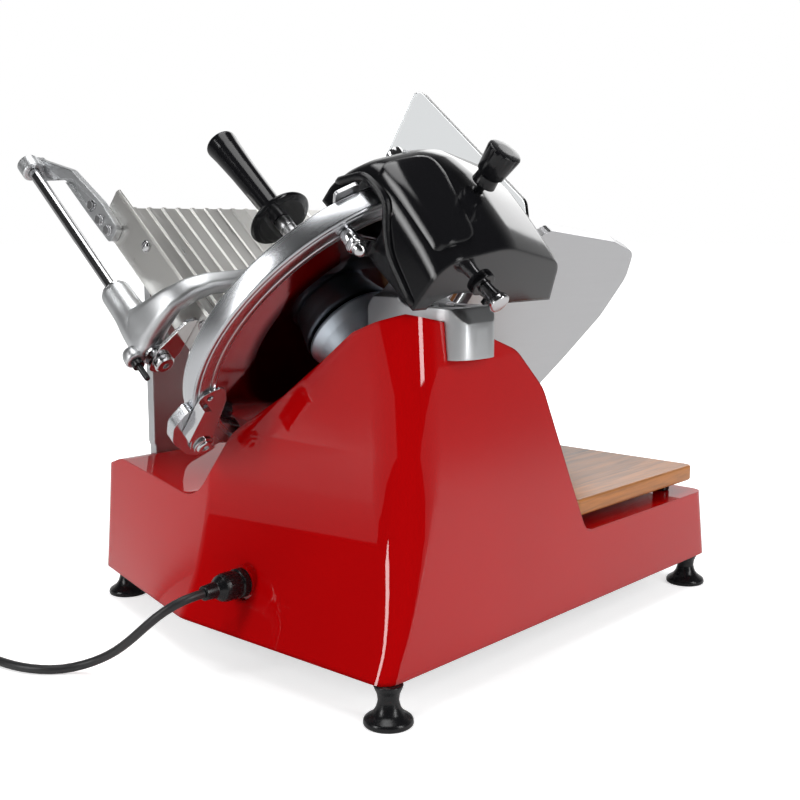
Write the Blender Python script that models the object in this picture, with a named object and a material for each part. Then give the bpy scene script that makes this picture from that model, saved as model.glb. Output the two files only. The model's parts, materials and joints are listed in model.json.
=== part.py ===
"""Gravity feed slicer with a 250 mm blade, built as the pieces that it comes apart into.

Metres, +Z up. The operator stands at -Y, the carriage slides along Y, and the casing's
right side is at +X. The blade leans: its frame has X to the rear, Y up the blade's slope
and Z along the feed, out of the blade's front face.
"""
import math

import bmesh
import bpy
from mathutils import Matrix, Vector

# The machine's box has its bottom centre at the origin
BOX_MIDDLE_X = 0.05476
BOX_MIDDLE_Y = -0.00784

# Clearances
SEAT = 0.0003
RUN = 0.0015

# Blade
TILT = math.radians(41)
BLADE_X = -0.0524
BLADE_Y = 0.106
BLADE_Z = 0.2458
BLADE_R = 0.125
BLADE_BAND_R = 0.109
BLADE_DISH_R = 0.090
BLADE_DEPTH = 0.009
BLADE_THICK = 0.003
HUB_R = 0.0356
HUB_NECK_R = 0.029
HUB_LENGTH = 0.025
SHAFT_R = 0.010

# Casing
BASE_Z = 0.027
BASE_LEFT = -0.184
BASE_RIGHT = 0.182
BASE_FRONT = -0.217
BASE_REAR = 0.168
REAR_SWELL = 0.038
REAR_SWELL_HEIGHT = 0.060
REAR_RIGHT = 0.160
REAR_KNEE_X = 0.020
HOUSING_TOP = 0.262
LEFT_DRAFT = 0.082
SIDE_DRAFT = 0.035
CORNER_R = 0.014
WALL = 0.004
BOTTOM_THICK = 0.002
LEDGE_Z = 0.082
LEDGE_RIGHT = -0.003
DECK_Z = 0.108
RIDGE_X = 0.152
RIDGE_Z = 0.1226

# Feet and board
FOOT_R = 0.0163
FOOT_NECK_R = 0.0068
FOOT_X = 0.1776
FOOT_REAR_LEFT_Y = 0.2008
FOOT_REAR_RIGHT_Y = 0.1560
FOOT_FRONT_Y = -0.2009
FOOT_BOSS_R = 0.011
STUD_R = 0.003
STUD_LENGTH = 0.018
STUD_SHORT = 0.003
BOARD_THICK = 0.0135
BOARD_Z = 0.091
BOARD_LEFT = -0.171
BOARD_REAR = -0.024
BOARD_FRONT = -0.210
PAD_R = 0.007

# Ring guard
RING_GAP = 0.007
RING_R = BLADE_R + RING_GAP
RING_IN_R = BLADE_R - 0.0097
RING_DRAWN_R = 0.132
RING_WALL = 0.0027
RING_DEPTH = 0.014
RING_LIP = 0.002
RING_START = math.radians(-52)
RING_END = math.radians(118)

# Gauge plate
GAUGE_THICK = 0.0075
GAUGE_TRAVEL = 0.014
GAUGE_BAR_R = 0.009
GAUGE_BAR_Y = -0.165
GAUGE_BAR_V = -0.172
CAM_R = 0.0215
CAM_TURN = math.radians(270)
CAM_EASE = 0.0005
KNOB_R = 0.026

# Carriage
TABLE_V = -0.110
TABLE_THICK = 0.006
TABLE_REAR = 0.125
TABLE_FRONT = -0.128
TABLE_NEAR = 0.008
TABLE_FAR = 0.250
TABLE_WALL = 0.020
RIB_COUNT = 14
RIB_HEIGHT = 0.0012
LEG_X = 0.160
LEG_THICK = 0.008
LEG_REAR = 0.1235
LEG_FOOT_FRONT = 0.057
LEG_FOOT_REAR = 0.122
TRAVEL_BACK = 0.020
TRAVEL_FRONT = 0.170
GUIDE_R = 0.009
GUIDE_Z = 0.074
GUARD_THICK = 0.005

# Press
ROD_R = 0.005
ROD_Y = 0.140
ROD_V = -0.145
ROD_END = 0.352
SLEEVE_R = 0.013
BUSH_R = 0.0095
SLEEVE_TOP = 0.185
SLEEVE_LOW = 0.120
PRESS_ARM_THICK = 0.022
STEM_R = 0.0075
STEM_Y = 0.000
STEM_V = -0.065
GRIP_LOW = 0.191
GRIP_TOP = 0.290
GRIP_GUARD_R = 0.030

# Drive
HOUSING_R = 0.028
HOUSING_FLANGE_R = 0.0305
HOUSING_TOP_S = -0.0363
HOUSING_SEAT_S = -0.048
HOUSING_LENGTH = 0.040
BEARING_R = 0.020
BEARING_WIDTH = 0.007
BLADE_PULLEY_R = 0.045
MOTOR_PULLEY_R = 0.010
PULLEY_WIDTH = 0.010
PULLEY_S = -0.087
BELT_THICK = 0.003
MOTOR_R = 0.046
MOTOR_LENGTH = 0.072
MOTOR_V = -0.080
MOTOR_SHAFT_R = 0.005

# Sharpener
COVER_NEAR = -0.080
COVER_FAR = 0.025
COVER_LOW = BLADE_R - 0.037
COVER_WALL = 0.003
POST_R = 0.0045
POST_S = -0.034
ARM_FRONT = -0.0261
ARM_DEPTH = 0.016
ARM_TOP = BLADE_R - 0.030
PAD_TOP = 0.2590
POST_TOP = BLADE_R + 0.003
STONE_R = 0.012
SPINDLE_R = 0.004
SPINDLE_U = 0.009
SPINDLE_V = BLADE_R - 0.015

# Cord
CORD_R = 0.0032
CORD_ROUTE = (
    (-33, 227, 62), (-32.8, 235.5, 61.6), (-31.0, 244, 60.0), (-26.8, 251.6, 56.0),
    (-20.0, 257.5, 49.5), (-10.0, 261.8, 40), (2, 264.6, 29.5), (15.5, 267.2, 19.5),
    (29.0, 271.0, 11.5), (40.6, 277.2, 6.2), (48.6, 285.4, 4.0), (56.0, 293.4, 3.6),
    (65.5, 300.0, 3.6), (77, 304.6, 3.6), (90, 307.4, 3.6), (106, 308.8, 3.6), (122, 309, 3.6),
    (136, 309, 3.6),
)
COIL_X = 0.150
COIL_Y = 0.353
COIL_R = 0.044
COIL_TURNS = 5.0
COIL_PITCH = 0.0071

for old in list(bpy.data.objects):
    bpy.data.objects.remove(old, do_unlink=True)


def material(name, colour, roughness, metallic=0.0):
    made = bpy.data.materials.new(name)
    made.use_nodes = True
    shader = made.node_tree.nodes["Principled BSDF"]
    shader.inputs["Base Color"].default_value = (*colour, 1)
    shader.inputs["Roughness"].default_value = roughness
    shader.inputs["Metallic"].default_value = metallic
    return made


RED = material("red_enamel", (0.50, 0.003, 0.006), 0.12)
STEEL = material("bright_steel", (0.62, 0.62, 0.62), 0.15, 1.0)
CAST = material("cast_aluminium", (0.66, 0.67, 0.68), 0.35, 1.0)
SATIN = material("satin_aluminium", (0.60, 0.60, 0.60), 0.40, 1.0)
BLACK = material("black_plastic", (0.01, 0.01, 0.012), 0.20)
RUBBER = material("black_rubber", (0.015, 0.015, 0.015), 0.55)
WOOD = material("oiled_wood", (0.45, 0.22, 0.08), 0.45)
CLEAR = material("clear_plastic", (0.75, 0.76, 0.76), 0.10)
STONE = material("grinding_stone", (0.35, 0.30, 0.28), 0.90)
GREEN = material("start_green", (0.05, 0.40, 0.10), 0.35)
STOP_RED = material("stop_red", (0.60, 0.02, 0.02), 0.35)


def frame_at(name, location, parent=None, basis=None):
    """An empty that carries pieces, turned by a basis when one is given."""
    empty = bpy.data.objects.new(name, None)
    bpy.context.collection.objects.link(empty)
    turn = Matrix(basis).transposed().to_4x4() if basis else Matrix.Identity(4)
    empty.matrix_local = Matrix.Translation(location) @ turn
    empty.parent = parent
    return empty


def finish(name, bm, finish_material, parent=None):
    """Make an object from a bmesh, shaded smooth with its real edges kept sharp."""
    bmesh.ops.recalc_face_normals(bm, faces=bm.faces)
    mesh = bpy.data.meshes.new(name)
    bm.to_mesh(mesh)
    bm.free()
    mesh.shade_smooth()
    mesh.set_sharp_from_angle(angle=math.radians(32))
    piece = bpy.data.objects.new(name, mesh)
    bpy.context.collection.objects.link(piece)
    if finish_material:
        mesh.materials.append(finish_material)
    piece.parent = parent
    return piece


def rounded(corners, steps=4):
    """An outline from corners (x, y, radius), with each round corner as an arc."""
    points = []
    for index, (x, y, radius) in enumerate(corners):
        here = Vector((x, y))
        if radius <= 0:
            points.append(here)
            continue
        before = Vector(corners[index - 1][:2]) - here
        after = Vector(corners[(index + 1) % len(corners)][:2]) - here
        half = before.angle(after) / 2
        reach = min(radius / math.tan(half), 0.49 * before.length, 0.49 * after.length)
        start = here + before.normalized() * reach
        end = here + after.normalized() * reach
        for step in range(steps + 1):
            way = step / steps
            bend = start.lerp(here, way).lerp(here.lerp(end, way), way)
            points.append(bend)
    return points


def prism(name, outline, low, high, finish_material=None, parent=None, along="Z"):
    """An outline in the plane across one axis, drawn out from low to high along it."""
    place = {
        "X": lambda a, b, h: (h, a, b),
        "Y": lambda a, b, h: (a, h, b),
        "Z": lambda a, b, h: (a, b, h),
    }[along]
    bm = bmesh.new()
    face = bm.faces.new([bm.verts.new(place(point[0], point[1], low)) for point in outline])
    drawn = bmesh.ops.extrude_face_region(bm, geom=[face])
    moved = [item for item in drawn["geom"] if isinstance(item, bmesh.types.BMVert)]
    bmesh.ops.translate(bm, verts=moved, vec=Vector(place(0, 0, high - low)))
    return finish(name, bm, finish_material, parent)


def box_outline(x0, x1, y0, y1, radius=0.0, steps=3):
    corners = ((x0, y0), (x1, y0), (x1, y1), (x0, y1))
    return rounded([(x, y, radius) for x, y in corners], steps)


def turned(name, profile, finish_material=None, parent=None, centre=(0, 0), along="Z",
           steps=22, closed=False, start=0.0, sweep=2 * math.pi):
    """A profile of (radius, height) points spun about an axis through centre."""
    bm = bmesh.new()
    verts = [bm.verts.new((radius, 0, height)) for radius, height in profile]
    edges = [bm.edges.new(pair) for pair in zip(verts, verts[1:])]
    if closed:
        edges.append(bm.edges.new((verts[-1], verts[0])))
    bmesh.ops.rotate(bm, verts=verts, matrix=Matrix.Rotation(start, 3, "Z"))
    whole = abs(sweep - 2 * math.pi) < 1e-6
    bmesh.ops.spin(bm, geom=verts + edges, axis=(0, 0, 1), angle=sweep, steps=steps,
                   use_merge=whole)
    bmesh.ops.remove_doubles(bm, verts=bm.verts, dist=1e-6)
    if not whole:
        rim = [edge for edge in bm.edges if edge.is_boundary]
        bmesh.ops.holes_fill(bm, edges=rim)
    turn = {
        "Z": Matrix.Identity(4),
        "Y": Matrix(((1, 0, 0, 0), (0, 0, 1, 0), (0, -1, 0, 0), (0, 0, 0, 1))),
        "X": Matrix(((0, 0, 1, 0), (0, 1, 0, 0), (-1, 0, 0, 0), (0, 0, 0, 1))),
    }[along]
    bmesh.ops.transform(bm, matrix=turn, verts=bm.verts)
    shift = {
        "Z": (centre[0], centre[1], 0),
        "Y": (centre[0], 0, centre[1]),
        "X": (0, centre[0], centre[1]),
    }[along]
    bmesh.ops.translate(bm, verts=bm.verts, vec=shift)
    return finish(name, bm, finish_material, parent)


def rod(name, radius, low, high, finish_material=None, parent=None, centre=(0, 0), along="Z",
        steps=16, edge=0.0):
    """A round bar from low to high, with chamfered ends when edge is given."""
    profile = [(0, low), (radius, low), (radius, high), (0, high)]
    if edge > 0:
        profile = [(0, low), (radius - edge, low), (radius, low + edge),
                   (radius, high - edge), (radius - edge, high), (0, high)]
    return turned(name, profile, finish_material, parent, centre, along, steps)


def hexagon(name, across_flats, low, high, finish_material=None, parent=None, centre=(0, 0),
            along="Z"):
    radius = across_flats / math.sqrt(3)
    outline = [(centre[0] + radius * math.cos(k * math.pi / 3),
                centre[1] + radius * math.sin(k * math.pi / 3)) for k in range(6)]
    return prism(name, outline, low, high, finish_material, parent, along)


def as_tool(tool):
    """Keep a piece as a guide only: it cuts or adds, and isn't part of the slicer."""
    tool.hide_render = True
    tool.display_type = "WIRE"
    return tool


def combine(piece, tool, operation):
    as_tool(tool)
    modifier = piece.modifiers.new(tool.name, "BOOLEAN")
    modifier.operation = operation
    modifier.object = tool
    modifier.solver = "EXACT"
    return piece


def cut(piece, *tools):
    for tool in tools:
        combine(piece, tool, "DIFFERENCE")
    return piece


def add(piece, *tools):
    for tool in tools:
        combine(piece, tool, "UNION")
    return piece


def move_pivot(piece, carrier):
    """Hang a piece, drawn in its carrier's parent frame, on the carrier's own axis."""
    piece.parent = carrier
    piece.location = -carrier.location
    return piece


slicer = frame_at("slicer", (-BOX_MIDDLE_X, -BOX_MIDDLE_Y, 0))
FEED = Vector((math.cos(TILT), 0, math.sin(TILT)))
UPHILL = Vector((-math.sin(TILT), 0, math.cos(TILT)))
REARWARD = Vector((0, 1, 0))
BLADE_CENTRE = Vector((BLADE_X, BLADE_Y, BLADE_Z))
incline = frame_at("incline", BLADE_CENTRE, slicer, (REARWARD, UPHILL, FEED))


def from_incline(u, v, s):
    return BLADE_CENTRE + u * REARWARD + v * UPHILL + s * FEED


def rear_wall(height):
    return BASE_REAR + REAR_SWELL * math.exp(-(height - BASE_Z) / REAR_SWELL_HEIGHT)


def casing_section(height, inset):
    """The casing's plan outline at one height, moved inward by inset."""
    rise = height - BASE_Z
    left = BASE_LEFT + rise * LEFT_DRAFT + inset
    right = BASE_RIGHT - rise * SIDE_DRAFT - inset
    front = BASE_FRONT + rise * SIDE_DRAFT + inset
    rear = rear_wall(height) - inset
    rear_right = REAR_RIGHT - rise * SIDE_DRAFT - inset
    corner = CORNER_R - inset
    return rounded([(left, front, corner), (right, front, corner),
                    (right, rear_right, corner), (REAR_KNEE_X, rear, 3 * CORNER_R),
                    (left, rear, corner)], 2 if inset > 0 else 4)


def roof_outline(inset):
    """All that lies over the roof, seen from behind, lowered by inset."""
    drop = 1.25 * inset
    line = [(-0.300, 0.240, 0), (-0.185, 0.248, 0.010), (-0.164, 0.2585, 0.012),
            (-0.140, 0.251, 0.020), (-0.121, 0.2436, 0.020), (-0.094, 0.223, 0.020),
            (-0.055, 0.195, 0.030), (-0.0016, 0.163, 0.040), (0.038, 0.108, 0.034),
            (RIDGE_X, RIDGE_Z, 0.030), (0.172, 0.1155, 0.010), (0.190, 0.098, 0),
            (0.300, 0.098, 0)]
    lowered = [(x, z - drop, radius) for x, z, radius in line]
    return rounded(lowered + [(0.300, 0.400, 0), (-0.300, 0.400, 0)], 3)


def slope_outline(floor, inset):
    """All that lies over the housing's front slope and a floor, seen from the side."""
    drop = 1.1 * inset
    line = [(0.330, 0.264, 0), (0.169, 0.259, 0.050), (0.097, 0.243, 0.050),
            (0.051, 0.226, 0.030), (0.021, 0.196, 0.030), (-0.008, 0.125, 0.030),
            (-0.026, floor, 0.012), (-0.330, floor, 0)]
    lowered = [(y - 0.5 * inset, z - drop, radius) for y, z, radius in line]
    lowered[-2] = (line[-2][0] - inset, floor - inset, line[-2][2])
    lowered[-1] = (line[-1][0], floor - inset, 0)
    return rounded(lowered + [(-0.330, 0.400, 0), (0.330, 0.400, 0)], 3)


def casing_form(name, inset, finish_material=None):
    """The casing's outer form moved inward by inset: a loft less its roof and its ledge."""
    heights = [BASE_Z, 0.038, 0.054, 0.076, 0.110, 0.165, HOUSING_TOP + 0.006]
    if inset > 0:
        heights[0] = BASE_Z - 0.001
    bm = bmesh.new()
    loops = []
    for height in heights:
        ring = [bm.verts.new((x, y, height)) for x, y in casing_section(height, inset)]
        loops.append([bm.edges.new((a, b)) for a, b in zip(ring, ring[1:] + ring[:1])])
        if height in (heights[0], heights[-1]):
            bm.faces.new(ring)
    for low, high in zip(loops, loops[1:]):
        bmesh.ops.bridge_loops(bm, edges=low + high)
    form = finish(name, bm, finish_material, slicer)
    cut(form, prism(name + "_roof_cut", roof_outline(inset), -0.300, 0.300, None, slicer, "Y"),
        prism(name + "_ledge_cut", slope_outline(LEDGE_Z, inset), -0.300,
              LEDGE_RIGHT + inset, None, slicer, "X"),
        prism(name + "_deck_cut", slope_outline(DECK_Z, inset), LEDGE_RIGHT,
              LEDGE_RIGHT + 0.042, None, slicer, "X"))
    return form


def feet_places():
    return {
        "foot_rear_left": (-FOOT_X, FOOT_REAR_LEFT_Y - 0.004),
        "foot_rear_right": (FOOT_X - 0.006, FOOT_REAR_RIGHT_Y - 0.012),
        "foot_front_left": (-FOOT_X + 0.006, FOOT_FRONT_Y),
        "foot_front_right": (FOOT_X - 0.006, FOOT_FRONT_Y),
    }


def stud_length(name):
    """The rear left foot stands where the wall sweeps in, so its stud is short."""
    return STUD_SHORT if name == "foot_rear_left" else STUD_LENGTH


def foot_block(name, place, grow, low, high):
    """The solid corner over a foot: it runs from inside the foot's boss to the walls."""
    reach = FOOT_BOSS_R + grow
    x, y = place
    outer_x = math.copysign(FOOT_X + 0.030, x)
    outer_y = math.copysign(FOOT_REAR_LEFT_Y + 0.030, y)
    inner_x = x - math.copysign(reach, x)
    inner_y = y - math.copysign(reach, y)
    outline = rounded([(inner_x, inner_y, 0.006), (outer_x, inner_y, 0), (outer_x, outer_y, 0),
                       (inner_x, outer_y, 0)], 4)
    return prism(name, outline, low, high, None, slicer)


GLAND_X = -0.033
GLAND_Z = 0.062
GLAND_Y = 0.1915
GLAND_HOLE_R = 0.0080
SLOT_FRONT = LEG_FOOT_FRONT - TRAVEL_FRONT - RUN
SLOT_REAR = LEG_FOOT_REAR + TRAVEL_BACK + RUN
SLOT_HALF = LEG_THICK / 2 + RUN
CAM_S = (BASE_Z + 0.0255 - BLADE_Z - GAUGE_BAR_V * math.cos(TILT)) / math.sin(TILT)
CAM_PLACE = from_incline(0, GAUGE_BAR_V, CAM_S)
BAR_U = GAUGE_BAR_Y - BLADE_Y
BUTTON_X = 0.128
BUTTON_Z = 0.070
BUTTON_HALF_STEP = 0.014
BUTTON_R = 0.009


def make_casing():
    """The one-piece casting: hollow, with bosses for the feet, bar and blade housing."""
    casing = casing_form("base_casing", 0.0, RED)
    hollow = casing_form("casing_hollow", WALL)
    for name, (x, y) in feet_places().items():
        cut(hollow, foot_block(name + "_boss", (x, y), 0, BASE_Z - 0.005, BASE_Z + 0.030))
    cut(hollow, rod("blade_boss", HOUSING_R + 0.010, HOUSING_SEAT_S - 0.012, -0.020, None, incline,
                    steps=32))
    cut(hollow, rod("gauge_boss", GAUGE_BAR_R + 0.006, -0.055, 0.004, None, incline,
                    (BAR_U, GAUGE_BAR_V), steps=24))
    for end, low, high in (("rear", 0.143, 0.175), ("front", -0.225, -0.200)):
        cut(hollow, rod("guide_boss_" + end, GUIDE_R + 0.007, low, high, None, slicer,
                        (LEG_X, GUIDE_Z), "Y", 14))
    cut(casing, hollow)
    add(casing, rod("gland_pad", 0.0122, 0.176, GLAND_Y + 0.0010, None, slicer,
                    (GLAND_X, GLAND_Z), "Y", 20))
    cut(casing,
        rod("blade_housing_seat", HOUSING_FLANGE_R + SEAT, HOUSING_SEAT_S, 0.02, None, incline,
            steps=40),
        rod("blade_housing_hole", HOUSING_R + SEAT, -0.090, 0.0, None, incline, steps=36),
        rod("gauge_bar_hole", GAUGE_BAR_R + SEAT, -0.075, 0.02, None, incline,
            (BAR_U, GAUGE_BAR_V), steps=22),
        prism("carriage_slot", box_outline(LEG_X - SLOT_HALF, LEG_X + SLOT_HALF, SLOT_FRONT,
                                           SLOT_REAR, SLOT_HALF - 0.001), 0.095, 0.140, None,
              slicer),
        rod("gland_seat", 0.0127, GLAND_Y, 0.230, None, slicer, (GLAND_X, GLAND_Z), "Y"),
        rod("gland_hole", GLAND_HOLE_R, 0.150, 0.230, None, slicer, (GLAND_X, GLAND_Z), "Y",
            18),
        rod("gauge_knob_hole", 0.006 + SEAT, -0.240, -0.190, None, slicer,
            (CAM_PLACE.x, CAM_PLACE.z), "Y", 14))
    for side in (-1, 1):
        cut(casing, rod("button_hole_%d" % side, BUTTON_R + 0.002, -0.240, -0.190, None, slicer,
                        (BUTTON_X + side * BUTTON_HALF_STEP, BUTTON_Z), "Y", 16))
    cut(casing, rod("guide_rod_bore", GUIDE_R + SEAT, BASE_FRONT + 0.006, 0.152, None, slicer,
                    (LEG_X, GUIDE_Z), "Y"))
    for name, (x, y) in feet_places().items():
        cut(casing, rod(name + "_bore", STUD_R + SEAT, BASE_Z - 0.01,
                        BASE_Z + stud_length(name) + 0.0005, None, slicer, (x, y), steps=12))
    cut(casing, rod("support_bolt_hole", 0.003 + SEAT, 0.225, 0.270, None, slicer,
                    (-0.150, 0.107), steps=12))
    return casing


def make_feet():
    height = BASE_Z - SEAT
    for name, (x, y) in feet_places().items():
        profile = [(0, 0), (FOOT_R, 0), (FOOT_R, 0.0040), (0.0105, 0.0070), (0.0078, 0.0110),
                   (FOOT_NECK_R, 0.0160), (0.0090, 0.0235), (0.0100, height), (0, height)]
        tip = BASE_Z + stud_length(name)
        profile[-1:] = [(STUD_R, height), (STUD_R, tip), (0, tip)]
        turned(name, profile, RUBBER, slicer, (x, y), steps=16)


def make_bottom_cover():
    inset = WALL + SEAT
    top = BASE_Z + BOTTOM_THICK
    cover = prism("bottom_cover", casing_section(top, inset), BASE_Z, top, SATIN,
                  slicer)
    for name, (x, y) in feet_places().items():
        cut(cover, foot_block(name + "_clear", (x, y), SEAT, BASE_Z - 0.01, BASE_Z + 0.02))
    return cover


def make_board():
    board = prism("cutting_board", box_outline(BOARD_LEFT, LEDGE_RIGHT - 0.005, BOARD_FRONT,
                                               BOARD_REAR, 0.008, 4),
                  BOARD_Z, BOARD_Z + BOARD_THICK, WOOD, slicer)
    edge = board.modifiers.new("eased_edges", "BEVEL")
    edge.width = 0.0015
    edge.segments = 1
    edge.limit_method = "ANGLE"
    edge.angle_limit = math.radians(40)
    for x in (BOARD_LEFT + 0.020, LEDGE_RIGHT - 0.030):
        for y in (BOARD_REAR - 0.025, BOARD_FRONT + 0.020):
            add(board, rod("board_pad", PAD_R, LEDGE_Z + SEAT, BOARD_Z + 0.004, None, slicer,
                           (x, y), steps=12))
    return board


blade_axis = frame_at("blade_axis", (0, 0, 0), incline)


def make_blade():
    front = BLADE_THICK - BLADE_DEPTH
    blade = turned("blade", [
        (0.020, -BLADE_DEPTH), (BLADE_DISH_R - 0.008, -BLADE_DEPTH), (BLADE_DISH_R, -0.0070),
        (BLADE_BAND_R, -0.0026), (0.1135, -0.0034), (BLADE_R, -0.0003), (BLADE_R, 0.0002),
        (BLADE_BAND_R, -0.0004), (BLADE_DISH_R - 0.005, front), (0.020, front)],
        STEEL, blade_axis, steps=50, closed=True)
    hub_back = -BLADE_DEPTH - SEAT - HUB_LENGTH
    hub = turned("blade_hub", [
        (SHAFT_R + SEAT, front - 0.0006), (0.020 - SEAT, front - 0.0006),
        (0.020 - SEAT, -BLADE_DEPTH - SEAT), (HUB_R - 0.001, -BLADE_DEPTH - SEAT),
        (HUB_R, -BLADE_DEPTH - 0.0013), (HUB_R, -0.0125), (0.0330, -0.0195),
        (HUB_NECK_R, hub_back + 0.0008), (HUB_NECK_R - 0.0008, hub_back),
        (SHAFT_R + SEAT, hub_back)], STEEL, blade_axis, steps=26, closed=True)
    shaft_low = PULLEY_S - 0.004
    rod("blade_shaft", SHAFT_R, shaft_low, front - 0.001, STEEL, blade_axis, steps=22,
        edge=0.0008)
    for number in range(3):
        angle = math.radians(30 + 120 * number)
        place = (0.0275 * math.cos(angle), 0.0275 * math.sin(angle))
        add(hub, rod("blade_screw_%d" % number, 0.003, -0.020, front - 0.0002, None, incline,
                     place, steps=12))
        cut(blade, rod("blade_screw_hole_%d" % number, 0.003 + SEAT, -0.020, 0.010, None, incline,
                       place, steps=12))
    low = PULLEY_S
    high = PULLEY_S + PULLEY_WIDTH
    turned("blade_pulley", [
        (SHAFT_R + SEAT, low), (BLADE_PULLEY_R, low), (BLADE_PULLEY_R, high), (0.020, high),
        (SHAFT_R + SEAT, high)], CAST, blade_axis, steps=26, closed=True)


def make_bearing_housing():
    top = HOUSING_TOP_S
    low = HOUSING_SEAT_S - HOUSING_LENGTH + 0.012
    lip = top - 0.0095
    turned("bearing_housing", [
        (SHAFT_R + 0.0008, top), (HOUSING_FLANGE_R - 0.0008, top),
        (HOUSING_FLANGE_R, top - 0.0008), (HOUSING_FLANGE_R, HOUSING_SEAT_S + SEAT),
        (HOUSING_R, HOUSING_SEAT_S + SEAT), (HOUSING_R, low), (BEARING_R, low),
        (BEARING_R, lip), (SHAFT_R + 0.0008, lip)], CAST, incline, steps=26, closed=True)
    places = {"blade_bearing_front": lip - SEAT, "blade_bearing_rear": low + BEARING_WIDTH}
    for name, high in places.items():
        turned(name, [
            (SHAFT_R + SEAT, high), (BEARING_R - SEAT, high),
            (BEARING_R - SEAT, high - BEARING_WIDTH), (SHAFT_R + SEAT, high - BEARING_WIDTH)],
            STEEL, incline, steps=22, closed=True)


motor_axis = frame_at("motor_axis", (0, MOTOR_V, 0), incline)


def make_drive():
    front = PULLEY_S - 0.006
    back = front - MOTOR_LENGTH
    motor = turned("motor", [
        (0, back), (0.036, back), (MOTOR_R, back + 0.010), (MOTOR_R, front - 0.010),
        (0.036, front - 0.002), (0, front)], CAST, incline, (0, MOTOR_V), steps=22)
    cut(motor, rod("motor_bore", MOTOR_SHAFT_R + SEAT, front - 0.012, front + 0.01, None,
                   incline, (0, MOTOR_V), steps=12))
    shaft = rod("motor_shaft", MOTOR_SHAFT_R, front - 0.0115, PULLEY_S + PULLEY_WIDTH + 0.002,
                STEEL, None, (0, MOTOR_V), steps=12)
    move_pivot(shaft, motor_axis)
    pulley = turned("motor_pulley", [
        (MOTOR_SHAFT_R + SEAT, PULLEY_S), (MOTOR_PULLEY_R, PULLEY_S),
        (MOTOR_PULLEY_R, PULLEY_S + PULLEY_WIDTH),
        (MOTOR_SHAFT_R + SEAT, PULLEY_S + PULLEY_WIDTH)], STEEL, None, (0, MOTOR_V), steps=16,
        closed=True)
    move_pivot(pulley, motor_axis)
    middle = from_incline(0, MOTOR_V, (front + back) / 2)
    cradle = prism("motor_cradle", box_outline(middle.x - 0.045, middle.x + 0.040,
                                               BLADE_Y - 0.030, BLADE_Y + 0.030),
                   BASE_Z + 0.002 + SEAT, middle.z - 0.010, CAST, slicer)
    cut(cradle, rod("cradle_seat", MOTOR_R + SEAT, back - 0.080, front + 0.080, None, incline,
                    (0, MOTOR_V), steps=22))
    belt = prism("drive_belt", belt_outline(BELT_THICK + SEAT), PULLEY_S + 0.001,
                 PULLEY_S + PULLEY_WIDTH - 0.001, RUBBER, incline)
    cut(belt, prism("belt_inside", belt_outline(SEAT), PULLEY_S - 0.01, PULLEY_S + 0.02, None,
                    incline))


def belt_outline(out):
    """The line round both pulleys at a distance out from them."""
    lean = math.asin((BLADE_PULLEY_R - MOTOR_PULLEY_R) / -MOTOR_V)
    points = []
    for step in range(21):
        angle = -lean + step / 20 * (math.pi + 2 * lean)
        radius = BLADE_PULLEY_R + out
        points.append((radius * math.cos(angle), radius * math.sin(angle)))
    for step in range(7):
        angle = math.pi + lean + step / 6 * (math.pi - 2 * lean)
        radius = MOTOR_PULLEY_R + out
        points.append((radius * math.cos(angle), MOTOR_V + radius * math.sin(angle)))
    return points


RING_BACK = -RING_DEPTH
LUG_S = -0.0085


def on_ring(*places):
    """Places drawn on a ring of RING_DRAWN_R, moved with the ring's own size."""
    ratio = RING_R / RING_DRAWN_R
    return [(place[0] * ratio, place[1] * ratio, *place[2:]) for place in places]


POST_PLACE, LUG_BOLT, TIE_PLACE = on_ring((0.056, -0.103), (0.0888, -0.1032), (0.0725, 0.0945))


def make_ring():
    ring = turned("ring_guard", [
        (RING_IN_R, RING_BACK), (RING_R - 0.0035, RING_BACK),
        (RING_R - 0.0030, RING_BACK + 0.0006), (RING_R - 0.0025, RING_BACK),
        (RING_R - 0.001, RING_BACK), (RING_R, RING_BACK + 0.001),
        (RING_R, RING_LIP), (RING_R - RING_WALL, RING_LIP),
        (RING_R - RING_WALL, RING_BACK + RING_WALL), (RING_IN_R, RING_BACK + RING_WALL)],
        CAST, incline, steps=28, closed=True, start=RING_START, sweep=RING_END - RING_START)
    flare = rounded(on_ring(
        (0.0905, -0.0800, 0), (0.1180, -0.0640, 0.004), (0.1235, -0.0820, 0.012),
        (0.1165, -0.0990, 0.020), (0.0960, -0.1150, 0.010), (0.0860, -0.1185, 0.004),
        (0.0700, -0.1080, 0.003), (0.0520, -0.1110, 0.005), (0.0560, -0.0930, 0.005)), 4)
    lug = prism("ring_lug", flare, RING_BACK + 0.0002, LUG_S + 0.0030, None, incline)
    add(ring, lug)
    window = STONE_R + 0.0025
    cut(ring, prism("stone_window", box_outline(SPINDLE_U - window, SPINDLE_U + window,
                                                SPINDLE_V - window, RING_R + 0.010, 0.006),
                    RING_BACK - 0.005, RING_BACK + 0.0065, None, incline))
    cut(ring, rod("ring_lug_hole", 0.0032, -0.03, 0.02, None, incline, LUG_BOLT, steps=12),
        rod("ring_lug_post_hole", 0.0032, -0.03, 0.02, None, incline, POST_PLACE, steps=12),
        rod("ring_tie_hole", 0.0032, -0.03, 0.004, None, incline, TIE_PLACE, steps=12))
    return ring


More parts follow.
